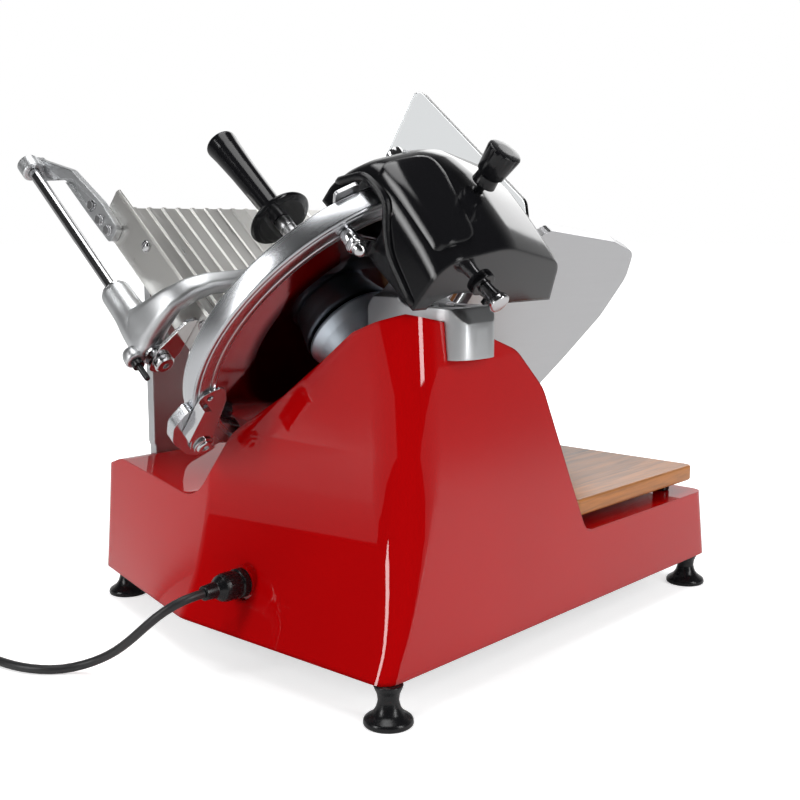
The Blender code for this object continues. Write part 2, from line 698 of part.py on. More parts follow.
def make_ring_fixings():
    """The post under the ring's lug, its bolts, the tie bar and the lever bracket."""
    post = rod("ring_post", 0.0055, -0.060, RING_BACK - SEAT, STEEL, incline, POST_PLACE,
               steps=14)
    cut(post, casing_envelope)
    turned("ring_bolt", [(0, -0.0200), (0.0060, -0.0200), (0.0060, -0.0163), (0.0028, -0.0163),
                         (0.0028, LUG_S + 0.0036), (0, LUG_S + 0.0036)],
           STEEL, incline, LUG_BOLT, steps=14)
    bracket = prism("ring_bracket", rounded(on_ring(
        (0.0800, -0.1100, 0.006), (0.0975, -0.1090, 0.006), (0.1080, -0.0800, 0.004),
        (0.1190, -0.0500, 0.009), (0.1010, -0.0400, 0.009), (0.0920, -0.0560, 0.006)), 4),
        RING_BACK - 0.0021, RING_BACK - SEAT, STEEL, incline)
    cut(bracket, rod("bracket_bolt_hole", 0.0028 + SEAT, -0.03, 0.0, None, incline, LUG_BOLT,
                     steps=12),
        rod("bracket_eye", 0.0025, -0.03, 0.0, None, incline, *on_ring((0.1085, -0.0520)),
            steps=12))
    add(bracket, prism("bracket_flange", rounded(on_ring(
        (0.1100, -0.0560, 0), (0.1120, -0.0880, 0.002), (0.1140, -0.0880, 0.002),
        (0.1165, -0.0560, 0)), 2), -0.024, RING_BACK - SEAT, None, incline))
    bar_low = RING_BACK - 0.0118
    turned("ring_tie_post", [
        (0, bar_low - 0.0075), (0.0022, bar_low - 0.0070), (0.0032, bar_low - 0.0050),
        (0.0032, bar_low - 0.0035), (0.0050, bar_low - 0.0033), (0.0050, bar_low - SEAT),
        (0.0028, bar_low - SEAT), (0.0028, bar_low + 0.0030 + SEAT),
        (0.0055, bar_low + 0.0030 + SEAT), (0.0055, RING_BACK - SEAT), (0.0029, RING_BACK - SEAT),
        (0.0029, RING_BACK + 0.0026), (0, RING_BACK + 0.0026)], STEEL, incline, TIE_PLACE,
        steps=14)
    bar = prism("ring_tie_bar", rounded(on_ring(
        (-0.0150, 0.0800, 0.002), (0.0280, 0.0800, 0.006), (0.0770, 0.0880, 0.0065),
        (0.0785, 0.1010, 0.0065), (0.0290, 0.0930, 0.006), (-0.0150, 0.0930, 0.002)), 4),
                bar_low, bar_low + 0.0030, STEEL, incline)
    cut(bar, rod("tie_bar_eye", 0.0028 + SEAT, bar_low - 0.01, bar_low + 0.02, None, incline,
                 TIE_PLACE, steps=12))


casing_envelope = as_tool(casing_form("casing_envelope", -SEAT))


def make_support():
    """The grey casting on the housing's shoulder that carries the sharpener."""
    front_low = from_incline(0, 0.040, ARM_FRONT)
    front_top = from_incline(0, ARM_TOP, ARM_FRONT)
    back_top = from_incline(0, ARM_TOP, ARM_FRONT - ARM_DEPTH)
    back_low = from_incline(0, 0.062, ARM_FRONT - ARM_DEPTH)
    outline = rounded([
        (-0.1790, 0.2250, 0), (-0.1640, 0.2250, 0), (-0.1330, 0.2300, 0), (-0.1020, 0.2200, 0),
        (-0.0985, 0.2450, 0.010), (front_low.x, front_low.z, 0.010),
        (front_top.x, front_top.z, 0.002), (back_top.x, back_top.z, 0.002),
        (back_low.x, back_low.z, 0.012), (-0.1340, PAD_TOP, 0.008), (-0.1690, PAD_TOP, 0.006),
        (-0.1790, 0.2470, 0.008)], 3)
    arm = prism("sharpener_support", outline, BLADE_Y - 0.025, BLADE_Y + 0.024, CAST, slicer, "Y")
    cut(arm, casing_envelope)
    cut(arm, rod("housing_clear", HOUSING_FLANGE_R + 0.0020, -0.100, -0.020, None, incline,
                 steps=28),
        rod("bolt_recess", 0.0105, PAD_TOP - 0.0045, 0.290, None, slicer, (-0.150, 0.107)),
        rod("bolt_way", 0.003 + SEAT, 0.200, 0.290, None, slicer, (-0.150, 0.107), steps=12))
    add(arm, rod("sharpener_post", POST_R, ARM_TOP - 0.015, POST_TOP, None, incline, (0, POST_S), "Y",
                 14))
    seat = PAD_TOP - 0.0045 + SEAT
    bolt = turned("support_bolt", [
        (0, 0.2280), (0.003, 0.2280), (0.003, seat), (0.0080, seat), (0.0080, seat + 0.0015),
        (0.003, seat + 0.0015), (0.003, seat + 0.0060), (0, seat + 0.0060)], STEEL, slicer,
        (-0.150, 0.107), steps=16)
    add(bolt, hexagon("support_bolt_head", 0.0100, seat + 0.0010, seat + 0.0055, None, slicer,
                      (-0.150, 0.107)))


def make_blade_cover():
    """The fixed disc in front of the blade, held on the ring by a lug over the edge."""
    outer = BLADE_R - 0.021
    inner = BLADE_DISH_R - 0.010
    disc = turned("blade_cover", [
        (0, -0.0035), (inner, -0.0032), (outer - 0.005, 0.0012), (outer, 0.0014),
        (outer, 0.0026), (outer - 0.0055, 0.0026), (inner, -0.0010), (0, -0.0013)], SATIN,
        incline, steps=32)
    angle = math.radians(58)
    across = Vector((-math.sin(angle), math.cos(angle)))
    out = Vector((math.cos(angle), math.sin(angle)))
    sides = [out * radius + across * side for radius, side in (
        (outer - 0.0055, -0.009), (RING_R + 0.0055, -0.009), (RING_R + 0.0055, 0.009),
        (outer - 0.0055, 0.009))]
    add(disc, prism("cover_lug", sides, RING_LIP + SEAT, RING_LIP + 0.0030, None, incline))
    return disc


gauge_slide = frame_at("gauge_slide", (BAR_U, GAUGE_BAR_V, 0), incline)


def make_gauge():
    """The thickness plate, its bar through the casing, and the cam on the knob's shaft."""
    reach = BLADE_R + 0.003
    rear = [(reach * math.cos(a), reach * math.sin(a))
            for a in [math.radians(135 + 83 * step / 16) for step in range(17)]]
    front = rounded([(-0.1040, -0.0960, 0.010), (-0.1270, -0.150, 0.010),
                     (-0.3430, -0.150, 0.012), (-0.3550, -0.075, 0.030), (-0.3600, -0.020, 0.040), (-0.3500, 0.030, 0.045), (-0.3270, 0.062, 0.030),
                     (-0.2800, 0.075, 0.030), (-0.1650, 0.0890, 0.012)], 5)
    plate = prism("gauge_plate", rear + front, 0.0005 - GAUGE_THICK, 0.0005, SATIN)
    move_pivot(plate, gauge_slide)
    low = CAM_S + CAM_R + SEAT
    bar = turned("gauge_bar", [
        (0, low), (0.0040, low), (0.0040, low + 0.0050), (GAUGE_BAR_R, low + 0.0060),
        (GAUGE_BAR_R, 0.0255), (0, 0.0255)], STEEL, None, (BAR_U, GAUGE_BAR_V), steps=22)
    move_pivot(bar, gauge_slide)
    add(bar, prism("gauge_shoe", box_outline(BAR_U - 0.024, BAR_U + 0.024, -0.183, -0.136, 0.004),
                   0.0230, 0.0280, None, incline),
        prism("gauge_shoe_web", box_outline(BAR_U - 0.0235, BAR_U + 0.0235, -0.149, -0.1365),
              0.0005 + SEAT, 0.0270, None, incline))
    cam_axis = frame_at("cam_axis", CAM_PLACE, slicer)
    cam_axis.location.y = 0
    outline = []
    start = math.atan2(FEED.z, FEED.x)
    for step in range(25):
        turn = CAM_TURN * step / 24
        radius = CAM_R - (GAUGE_TRAVEL + CAM_EASE) * step / 24
        outline.append((CAM_PLACE.x + radius * math.cos(start + turn),
                        CAM_PLACE.z + radius * math.sin(start + turn)))
    cam = prism("gauge_cam", outline, GAUGE_BAR_Y - 0.005, GAUGE_BAR_Y + 0.005, STEEL, None, "Y")
    move_pivot(cam, cam_axis)
    centre = (CAM_PLACE.x, CAM_PLACE.z)
    add(cam, rod("cam_shaft", 0.006, BASE_FRONT - 0.016, GAUGE_BAR_Y + 0.012, None, slicer,
                 centre, "Y", 14))
    face = BASE_FRONT - SEAT
    knob = turned("gauge_knob", [
        (0, face - 0.0162), (0.006 + SEAT, face - 0.0162), (0.006 + SEAT, face), (0.017, face),
        (0.018, face - 0.004), (KNOB_R, face - 0.008), (KNOB_R, face - 0.024),
        (KNOB_R - 0.003, face - 0.028), (0, face - 0.028)], BLACK, None,
        centre, "Y", 26)
    move_pivot(knob, cam_axis)
    for number in range(8):
        angle = math.tau * number / 8
        flute = (centre[0] + (KNOB_R + 0.0022) * math.cos(angle),
                 centre[1] + (KNOB_R + 0.0022) * math.sin(angle))
        cut(knob, rod("knob_flute_%d" % number, 0.0040, face - 0.040, face - 0.010, None, slicer,
                      flute, "Y", 8))


def make_switch():
    """A bezel with a start and a stop button on the casing's front."""
    wall = BASE_FRONT + (BUTTON_Z + 0.016 - BASE_Z) * SIDE_DRAFT - SEAT
    foot = BASE_FRONT + (BUTTON_Z - 0.016 - BASE_Z) * SIDE_DRAFT - SEAT
    out = foot - 0.0030
    outline = box_outline(BUTTON_X - 0.032, BUTTON_X + 0.032, BUTTON_Z - 0.016,
                          BUTTON_Z + 0.016, 0.008)
    plate = prism("switch_plate", outline, out, wall + 0.004, BLACK, slicer, "Y")
    cut(plate, casing_envelope)
    for side, name, colour in ((-1, "start_button", GREEN), (1, "stop_button", STOP_RED)):
        centre = (BUTTON_X + side * BUTTON_HALF_STEP, BUTTON_Z)
        cut(plate, rod(name + "_way", BUTTON_R + 0.0004, -0.250, -0.200, None, slicer, centre,
                       "Y", 16))
        turned(name, [(0, out - 0.0045), (BUTTON_R - 0.001, out - 0.0045),
                      (BUTTON_R, out - 0.0035), (BUTTON_R, out + 0.012), (0, out + 0.012)],
               colour, slicer, centre, "Y", 16)


def table_section():
    """The table across the feed: ribbed top, rear wall, front flange and a hollow below."""
    rear = TABLE_REAR - BLADE_Y
    front = TABLE_FRONT - BLADE_Y
    top = TABLE_V
    under = TABLE_V - TABLE_THICK
    points = [(front, top)]
    step = (rear - front - 0.030) / RIB_COUNT
    for number in range(RIB_COUNT):
        left = front + 0.012 + number * step
        for along, height in ((0.30, 0), (0.38, 1), (0.62, 1), (0.70, 0)):
            points.append((left + along * step, top + height * RIB_HEIGHT))
    points += [(rear - 0.008, top), (rear - 0.005, top + 0.004),
               (rear - 0.005, top + TABLE_WALL - 0.002), (rear - 0.0035, top + TABLE_WALL),
               (rear - 0.0015, top + TABLE_WALL), (rear, top + TABLE_WALL - 0.002),
               (rear, under - 0.012), (rear - 0.004, under - 0.012), (rear - 0.004, under),
               (front + 0.004, under), (front + 0.004, under - 0.012), (front, under - 0.012)]
    return points


carriage = frame_at("carriage", (0, 0, 0), slicer)
carriage_incline = frame_at("carriage_incline", BLADE_CENTRE, carriage,
                            (REARWARD, UPHILL, FEED))


def make_carriage():
    """The ribbed table on its cast leg, which runs on a bar inside the casing."""
    table = prism("product_table", table_section(), TABLE_NEAR, TABLE_FAR, SATIN,
                  carriage_incline)
    low_v = TABLE_V - TABLE_THICK - SEAT
    at_leg = ((LEG_X - BLADE_X) / FEED.x - low_v * UPHILL.x / FEED.x)
    top_z = BLADE_Z + low_v * UPHILL.z + at_leg * FEED.z
    rise = LEG_THICK * FEED.z / FEED.x
    foot_z = GUIDE_Z + GUIDE_R + 0.007
    leg = prism("carriage_leg", rounded([
        (LEG_FOOT_FRONT, foot_z, 0), (LEG_FOOT_REAR, foot_z, 0),
        (LEG_FOOT_REAR, RIDGE_Z + 0.004, 0.002), (LEG_REAR, RIDGE_Z + 0.008, 0.002),
        (LEG_REAR, top_z + rise, 0), (-0.060, top_z + rise, 0),
        (-0.060, top_z - 0.016, 0.004), (0.020, top_z - 0.030, 0.060),
        (0.088, top_z - 0.060, 0.050), (0.088, RIDGE_Z + 0.020, 0.012),
        (LEG_FOOT_FRONT, RIDGE_Z + 0.008, 0.004)], 5),
        LEG_X - LEG_THICK / 2, LEG_X + LEG_THICK / 2, CAST, carriage, "X")
    lip_u = TABLE_REAR - BLADE_Y - 0.004 - SEAT
    cut(leg, prism("table_underside", [
        (-0.400, low_v), (lip_u, low_v), (lip_u, low_v - 0.012), (0.200, low_v - 0.012),
        (0.200, 0.200), (-0.400, 0.200)], 0, 0.400, None, carriage_incline))
    block = prism("slide_block", box_outline(LEG_X - 0.014, LEG_X + 0.014, GUIDE_Z - 0.015,
                                             foot_z - SEAT, 0.004),
                  LEG_FOOT_FRONT - 0.006, LEG_FOOT_REAR - 0.002, CAST, carriage, "Y")
    cut(block, rod("slide_bore", GUIDE_R + SEAT, 0, 0.200, None, carriage, (LEG_X, GUIDE_Z),
                   "Y", 18))
    rod("guide_rod", GUIDE_R, BASE_FRONT + 0.0065, 0.1515, STEEL, slicer, (LEG_X, GUIDE_Z), "Y",
        18)
    front = TABLE_FRONT - BLADE_Y - SEAT
    prism("clear_guard", rounded([
        (-0.1200, 0.050, 0.004), (0.0480, 0.050, 0.010), (0.0600, 0.064, 0.012),
        (0.0580, 0.228, 0.012), (-0.0300, 0.2150, 0.040), (-0.1200, 0.2000, 0.004)], 5),
        front - GUARD_THICK, front, CLEAR, carriage_incline, "X")


ROD_U = ROD_Y - BLADE_Y
STEM_U = STEM_Y - BLADE_Y
CLAMP_S = 0.103
BRACKET_S = 0.338
press_bush_slide = frame_at("press_bush_slide", (ROD_U, ROD_V, 0), carriage_incline)
press_axis = frame_at("press_axis", (0, 0, 0), press_bush_slide)


def make_rod():
    """The press's rod with its outer bracket and its lower plate, on the table's rear."""
    wall = TABLE_REAR - BLADE_Y + SEAT
    bracket = prism("rod_bracket", rounded([
        (-0.0960, 0.2050, 0.004), (-0.1240, 0.2050, 0.004), (-0.1260, 0.3120, 0.010),
        (-0.1530, BRACKET_S - 0.002, 0.004), (-0.1530, ROD_END, 0.002), (-0.1330, ROD_END, 0.006),
        (-0.0960, 0.2500, 0.010)], 3), wall, wall + 0.0060, CAST, carriage_incline, "X")
    add(bracket, rod("rod_eye", ROD_R + 0.005, BRACKET_S, ROD_END, None, carriage_incline,
                     (ROD_U, ROD_V), steps=18),
        prism("rod_web", box_outline(wall + 0.001, ROD_U, ROD_V - 0.008, ROD_V + 0.008),
              BRACKET_S + 0.001, ROD_END - 0.001, None, carriage_incline))
    cut(bracket, rod("rod_eye_bore", ROD_R + SEAT, 0.300, 0.400, None, carriage_incline,
                     (ROD_U, ROD_V)))
    for number, place in enumerate(((0.2140, -0.1170), (0.2300, -0.1170), (0.2440, -0.1080))):
        add(bracket, hexagon("bracket_screw_%d" % number, 0.0080, wall + 0.0050, wall + 0.0082,
                             None, carriage_incline, (place[1], place[0]), "X"))
    turned("press_rod", [
        (0, CLAMP_S - 0.0060), (0.0075, CLAMP_S - 0.0055), (0.0085, CLAMP_S - 0.0040),
        (0.0085, CLAMP_S - SEAT), (ROD_R, CLAMP_S - SEAT), (ROD_R, ROD_END + 0.003),
        (ROD_R - 0.001, ROD_END + 0.004), (0, ROD_END + 0.004)], STEEL, carriage_incline,
        (ROD_U, ROD_V), steps=16)
    clamp = prism("rod_clamp", rounded([
        (wall, -0.1000, 0.002), (wall + 0.010, -0.1020, 0.006), (ROD_U + 0.0095, -0.1330, 0.008),
        (ROD_U + 0.0095, -0.1560, 0.008), (ROD_U - 0.006, -0.1600, 0.006),
        (wall, -0.1380, 0.004)], 4), CLAMP_S, CLAMP_S + 0.0030, STEEL, carriage_incline)
    cut(clamp, rod("rod_clamp_hole", ROD_R + SEAT, 0.090, 0.120, None, carriage_incline,
                   (ROD_U, ROD_V)))


def hang_press(piece):
    """Hang a piece, drawn in the carriage's leaning frame, on the press's axis."""
    piece.parent = press_axis
    piece.location = (-ROD_U, -ROD_V, 0)
    return piece


def make_press():
    """The press: sleeve and arm on the rod, stem, grip and the toothed plate."""
    low = SLEEVE_LOW - 0.008
    turned("press_bush", [
        (ROD_R + SEAT, low - 0.0025), (0.0120, low - 0.0025), (0.0120, low - SEAT),
        (BUSH_R, low - SEAT), (BUSH_R, SLEEVE_TOP + SEAT), (0.0105, SLEEVE_TOP + SEAT),
        (0.0105, SLEEVE_TOP + 0.0020), (ROD_R + SEAT, SLEEVE_TOP + 0.0020)], STEEL,
        press_bush_slide, steps=18, closed=True)
    arm = prism("press_arm", rounded([
        (0.0500, -0.1520, 0.010), (0.0500, -0.1200, 0.020), (0.0400, -0.0840, 0.020),
        (0.0100, -0.0700, 0.020), (STEM_U - 0.006, STEM_V + 0.009, 0.012),
        (STEM_U - 0.016, STEM_V, 0.010), (STEM_U - 0.006, -0.0845, 0.010),
        (0.0000, -0.0845, 0.004), (0.0300, -0.0855, 0.004), (0.0300, -0.1520, 0.004)], 3),
        low, low + PRESS_ARM_THICK, CAST)
    hang_press(arm)
    sleeve = turned("press_sleeve", [
        (0, low), (0.0150, low), (0.0155, low + 0.020), (SLEEVE_R, SLEEVE_TOP - 0.003),
        (SLEEVE_R - 0.001, SLEEVE_TOP), (0, SLEEVE_TOP)], None, carriage_incline,
        (ROD_U, ROD_V), steps=22)
    add(arm, sleeve)
    cut(arm, rod("press_sleeve_bore", BUSH_R + SEAT, 0.090, 0.200, None, carriage_incline,
                 (ROD_U, ROD_V)))
    top = low + PRESS_ARM_THICK
    stem = turned("press_stem", [
        (0, top + SEAT), (0.0100, top + SEAT), (0.0100, top + 0.004), (STEM_R, top + 0.008),
        (STEM_R, GRIP_LOW - 0.009 - SEAT), (0.004, GRIP_LOW - 0.009 - SEAT),
        (0.004, GRIP_LOW + 0.040), (0, GRIP_LOW + 0.040)], STEEL, None, (STEM_U, STEM_V),
        steps=16)
    hang_press(stem)
    disc = GRIP_LOW - 0.009
    handle = turned("press_handle", [
        (0, GRIP_LOW + 0.0403), (0.0043, GRIP_LOW + 0.0403), (0.0043, disc),
        (GRIP_GUARD_R - 0.006, disc), (GRIP_GUARD_R - 0.001, disc + 0.0018),
        (GRIP_GUARD_R, disc + 0.0035), (GRIP_GUARD_R - 0.001, disc + 0.0048),
        (GRIP_GUARD_R - 0.008, disc + 0.0052), (0.0120, disc + 0.0075), (0.0108, GRIP_LOW + 0.004),
        (0.0112, GRIP_LOW + 0.030), (0.0128, GRIP_TOP - 0.030), (0.0150, GRIP_TOP - 0.002),
        (0.0140, GRIP_TOP), (0, GRIP_TOP)], BLACK, None, (STEM_U, STEM_V), steps=20)
    hang_press(handle)
    plate = prism("press_plate", box_outline(STEM_U - 0.060, STEM_U + 0.060, -0.1050, -0.0320,
                                             0.012, 3), low - 0.0040, low - SEAT, STEEL)
    hang_press(plate)
    for column in range(6):
        for line in range(3):
            place = (STEM_U - 0.045 + 0.018 * column, -0.0930 + 0.0220 * line)
            add(plate, turned("tooth_%d_%d" % (column, line), [
                (0, low - 0.0095), (0.0040, low - 0.0030), (0, low - 0.0030)], None,
                carriage_incline, place, steps=4))
    pin = turned("press_stop_pin", [
        (0, low - 0.0200), (0.0022, low - 0.0190), (0.0025, low - 0.0060),
        (0.0050, low - 0.0058), (0.0050, low - SEAT), (0, low - SEAT)], BLACK, None,
        (ROD_U + 0.0165, ROD_V - 0.0085), steps=12)
    hang_press(pin)
    return arm


sharpener = frame_at("sharpener", (0, 0, 0), incline)
knob_axis = frame_at("knob_axis", (0, 0, POST_S), sharpener)
COVER_SECTIONS = [(s, BLADE_R + front, BLADE_R + top, BLADE_R + rear) for s, front, top, rear in (
    (COVER_NEAR, 0.0010, 0.0150, 0.0040), (-0.0550, 0.0070, 0.0220, 0.0100),
    (-0.0100, 0.0120, 0.0280, 0.0120), (COVER_FAR, 0.0090, 0.0240, 0.0060))]


def cover_form(name, inset, finish_material=None, parent=None):
    """The sharpener cover's dome: outlines across the feed, bridged one to the next."""
    bm = bmesh.new()
    loops = []
    last = len(COVER_SECTIONS) - 1
    low = COVER_LOW - (0.020 if inset else 0)
    for number, (s, front, top, rear) in enumerate(COVER_SECTIONS):
        s += inset * ((number == 0) - (number == last))
        outline = rounded([
            (-0.0900 + inset, low, 0), (0.0600 - inset, low, 0),
            (0.0600 - inset, rear - inset, 0.014), (0.0050, top - inset, 0.060),
            (-0.0660 + inset, front - inset, 0.026)], 4)
        ring = [bm.verts.new((u, v, s)) for u, v in outline]
        loops.append([bm.edges.new((a, b)) for a, b in zip(ring, ring[1:] + ring[:1])])
        if number in (0, last):
            bm.faces.new(ring)
    for near, far in zip(loops, loops[1:]):
        bmesh.ops.bridge_loops(bm, edges=near + far)
    return finish(name, bm, finish_material, parent)


def make_sharpener():
    """The sharpener: cover, its casting on the post, two stones and their buttons."""
    cover = cover_form("sharpener_cover", 0.0, BLACK, sharpener)
    cut(cover, cover_form("cover_hollow", COVER_WALL, None, sharpener))
    under = COVER_LOW - 0.018
    arch = rounded([
        (-0.0120, under, 0), (-0.0120, COVER_LOW + 0.005, 0.004), (0.0080, COVER_LOW + 0.013, 0.008),
        (0.0300, COVER_LOW + 0.013, 0.010), (0.0460, COVER_LOW + 0.005, 0.006),
        (0.0500, under, 0)], 4)
    cut(cover, prism("cover_arch", arch, COVER_NEAR - 0.010, COVER_NEAR + 0.010, None, sharpener),
        prism("cover_notch", box_outline(0.0400, 0.0800, under, RING_R - 0.0095), -0.0280,
              RING_LIP + 0.0060, None, sharpener),
        prism("cover_front_notch", box_outline(-0.1000, -0.0700, under, BLADE_R - 0.019), -0.0125,
              0.0035, None, sharpener),
        rod("grind_way", SPINDLE_R + 0.0010, COVER_NEAR - 0.010, COVER_NEAR + 0.010, None,
            sharpener, (SPINDLE_U, SPINDLE_V), steps=16),
        rod("debur_way", SPINDLE_R + SEAT, COVER_FAR - 0.010, COVER_FAR + 0.010, None, sharpener,
            (DEBUR_U, DEBUR_V), steps=14),
        rod("knob_way", 0.0033, COVER_LOW + 0.012, POST_TOP + 0.072, None, sharpener, (0, POST_S), "Y", 12))
    body = prism("sharpener_body", box_outline(-0.0120, 0.0220, POST_S - 0.012, POST_S + 0.013,
                                               0.003), ARM_TOP + SEAT, BLADE_R + 0.0090, CAST,
                 sharpener, "Y")
    boss_top = cover_inside(POST_S) - SEAT
    add(body, rod("knob_boss", 0.0075, POST_TOP + 0.002, boss_top, None, sharpener, (0, POST_S), "Y", 16),
        prism("stone_bridge", box_outline(-0.0120, 0.0220, BLADE_R + 0.0087, BLADE_R + 0.0135),
              POST_S + 0.010, 0.0180, None, sharpener),
        prism("debur_leg", box_outline(-0.0120, 0.0080, BLADE_R - 0.0190, BLADE_R + 0.0100),
              0.0110, 0.0180, None, sharpener))
    cut(body, rod("post_bore", POST_R + SEAT, ARM_TOP - 0.015, POST_TOP + 0.0005, None, sharpener,
                  (0, POST_S), "Y", 16),
        rod("knob_bore", 0.0033, POST_TOP - 0.008, POST_TOP + 0.032, None, sharpener, (0, POST_S), "Y", 12),
        rod("grind_bore", SPINDLE_R + SEAT, -0.060, -0.010, None, sharpener,
            (SPINDLE_U, SPINDLE_V), steps=14),
        rod("debur_bore", SPINDLE_R + SEAT, 0.005, 0.030, None, sharpener, (DEBUR_U, DEBUR_V),
            steps=14))
    top = cover_outside(POST_S) + SEAT
    knob = turned("sharpener_knob", [
        (0, POST_TOP + 0.0008), (0.0030, POST_TOP + 0.0008), (0.0030, top + 0.0035),
        (0.0085, top + 0.0035), (0.0078, top + 0.0120), (0.0095, top + 0.0130),
        (0.0120, BLADE_R + 0.0545), (0.0112, BLADE_R + 0.0560), (0, BLADE_R + 0.0560)], BLACK, None, (0, POST_S), "Y", 20)
    move_pivot(knob, knob_axis)
    near = COVER_NEAR - 0.0215
    turned("grind_button", [
        (0, near), (0.0065, near), (0.0075, near + 0.001), (0.0070, near + 0.004),
        (0.0050, near + 0.012), (0.0048, near + 0.018), (SPINDLE_R, near + 0.019),
        (SPINDLE_R, STONE_BACK - 0.002), (0.0025, STONE_BACK - 0.002), (0.0025, STONE_FACE - 0.001),
        (0, STONE_FACE - 0.001)], STEEL, sharpener, (SPINDLE_U, SPINDLE_V), steps=14)
    turned("grind_stone", [
        (0.0028, STONE_BACK), (STONE_R, STONE_BACK), (STONE_R, STONE_FACE),
        (0.0120, STONE_FACE), (0.0028, STONE_FACE - 0.0004)], STONE, sharpener,
        (SPINDLE_U, SPINDLE_V), steps=22, closed=True)
    far = COVER_FAR + 0.0180
    turned("debur_button", [
        (0, far), (0.0060, far), (0.0070, far - 0.001), (0.0065, far - 0.004),
        (0.0048, far - 0.012), (SPINDLE_R, far - 0.014), (SPINDLE_R, DEBUR_BACK + 0.0012),
        (0.0025, DEBUR_BACK + 0.0012), (0.0025, DEBUR_FACE + 0.001), (0, DEBUR_FACE + 0.001)],
        STEEL, sharpener, (DEBUR_U, DEBUR_V), steps=14)
    turned("debur_stone", [
        (0.0028, DEBUR_FACE), (0.0110, DEBUR_FACE), (0.0110, DEBUR_BACK), (0.0028, DEBUR_BACK)],
        STONE, sharpener, (DEBUR_U, DEBUR_V), steps=18, closed=True)


def cover_outside(s):
    """The dome's height over the post at a place along the feed."""
    for near, far in zip(COVER_SECTIONS, COVER_SECTIONS[1:]):
        if near[0] <= s <= far[0]:
            way = (s - near[0]) / (far[0] - near[0])
            return near[2] + (far[2] - near[2]) * way - 0.0020
    return COVER_SECTIONS[-1][2]


def cover_inside(s):
    return cover_outside(s) - COVER_WALL - 0.0010


def make_gland():
    face = GLAND_Y + SEAT
    gland = turned("cable_gland", [
        (0, face - 0.009), (GLAND_HOLE_R - SEAT, face - 0.009), (GLAND_HOLE_R - SEAT, face),
        (0.0108, face), (0.0108, face + 0.006), (0.0098, face + 0.007), (0.0098, face + 0.017),
        (0.0088, face + 0.022), (0.0066, face + 0.0245), (0.0052, face + 0.035),
        (0, face + 0.035)], BLACK, slicer, (GLAND_X, GLAND_Z), "Y", 18)
    return gland


def smooth_route(points, count):
    """Evenly spaced points on a smooth curve through the given ones."""
    ends = [points[0] * 2 - points[1]] + points + [points[-1] * 2 - points[-2]]
    fine = []
    for a, b, c, d in zip(ends, ends[1:], ends[2:], ends[3:]):
        for step in range(20):
            t = step / 20
            fine.append(0.5 * ((2 * b) + (c - a) * t + (2 * a - 5 * b + 4 * c - d) * t * t
                               + (3 * b - a - 3 * c + d) * t ** 3))
    fine.append(points[-1])
    along = [0.0]
    for a, b in zip(fine, fine[1:]):
        along.append(along[-1] + (b - a).length)
    even = []
    index = 0
    for number in range(count):
        target = along[-1] * number / (count - 1)
        while index < len(fine) - 2 and along[index + 1] < target:
            index += 1
        span = along[index + 1] - along[index]
        even.append(fine[index].lerp(fine[index + 1], (target - along[index]) / span))
    return even, along[-1]


def tube(name, points, radius, resolution):
    curve = bpy.data.curves.new(name, "CURVE")
    curve.dimensions = "3D"
    curve.bevel_depth = radius
    curve.bevel_resolution = resolution
    curve.use_fill_caps = True
    line = curve.splines.new("POLY")
    line.points.add(len(points) - 1)
    for point, place in zip(line.points, points):
        point.co = (*place, 1)
    curve.materials.append(RUBBER)
    made = bpy.data.objects.new(name, curve)
    bpy.context.collection.objects.link(made)
    made.parent = slicer
    return made


def coil_points():
    """A coil in two layers: in along the floor, up at the reversal, out again on top."""
    start = math.radians(-90)
    points = []
    total = round(24 * COIL_TURNS)
    middle = total / 2
    for number in range(total + 1):
        turn = number / 24
        inward = min(number, total - number) / 24
        radius = COIL_R - COIL_PITCH * inward
        climb = min(max((number - middle) / 12 + 0.5, 0), 1)
        height = COIL_Z + COIL_PITCH * (3 * climb * climb - 2 * climb ** 3)
        angle = start + math.tau * turn
        points.append(Vector((COIL_X + radius * math.cos(angle),
                              COIL_Y + radius * math.sin(angle), height)))
    return points


def least_gap(points, apart):
    """The least distance between stretches of a tube that lie some points apart."""
    least = 1.0
    for i, a in enumerate(points):
        for b in points[i + apart:]:
            least = min(least, (a - b).length - 2 * CORD_R)
    return least


def make_cord():
    route = [Vector(point) / 1000 for point in CORD_ROUTE]
    points, length = smooth_route(route, 30)
    tube("power_cord", points, CORD_R, 2)
    coil = coil_points()
    lead = [Vector((route[-1].x + SEAT, route[-1].y, COIL_Z))]
    coil_length = sum((a - b).length for a, b in zip(coil, coil[1:]))
    tail_end = coil[-1] + Vector((0.052, 0, 0.0139 - coil[-1].z))
    tail = [coil[-1] + Vector((0.013, 0, 0)), coil[-1] + Vector((0.029, 0, 0.0017)),
            tail_end + Vector((-0.0065, 0, 0)), tail_end]
    whole = lead + coil + tail
    tube("cord_coil", whole, CORD_R, 1)
    print("cord", round(length, 3), "coil", round(coil_length, 3), "least gap",
          round(least_gap(whole, 12) * 1000, 2), "mm")
    front = tail_end.x + SEAT
    plug = turned("power_plug", [
        (0, front), (0.0048, front), (0.0060, front + 0.014), (0.0095, front + 0.017),
        (0.0120, front + 0.030), (0.0135, front + 0.040), (0.0135, front + 0.044),
        (0, front + 0.044)], BLACK, slicer, (tail_end.y, tail_end.z), "X", 16)
    return plug


COIL_Z = CORD_R + 0.0004
DEBUR_U = -0.004
DEBUR_V = BLADE_R - 0.0085
STONE_BACK = -0.0150
STONE_FACE = -0.0095
DEBUR_FACE = 0.0045
DEBUR_BACK = 0.0095
make_casing()
make_feet()
make_bottom_cover()
make_board()
make_blade()
make_bearing_housing()
make_drive()
make_ring()
make_ring_fixings()
make_support()
make_blade_cover()
make_gauge()
make_switch()
make_carriage()
make_rod()
make_press()
make_sharpener()
make_gland()
make_cord()
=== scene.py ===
import json
import math

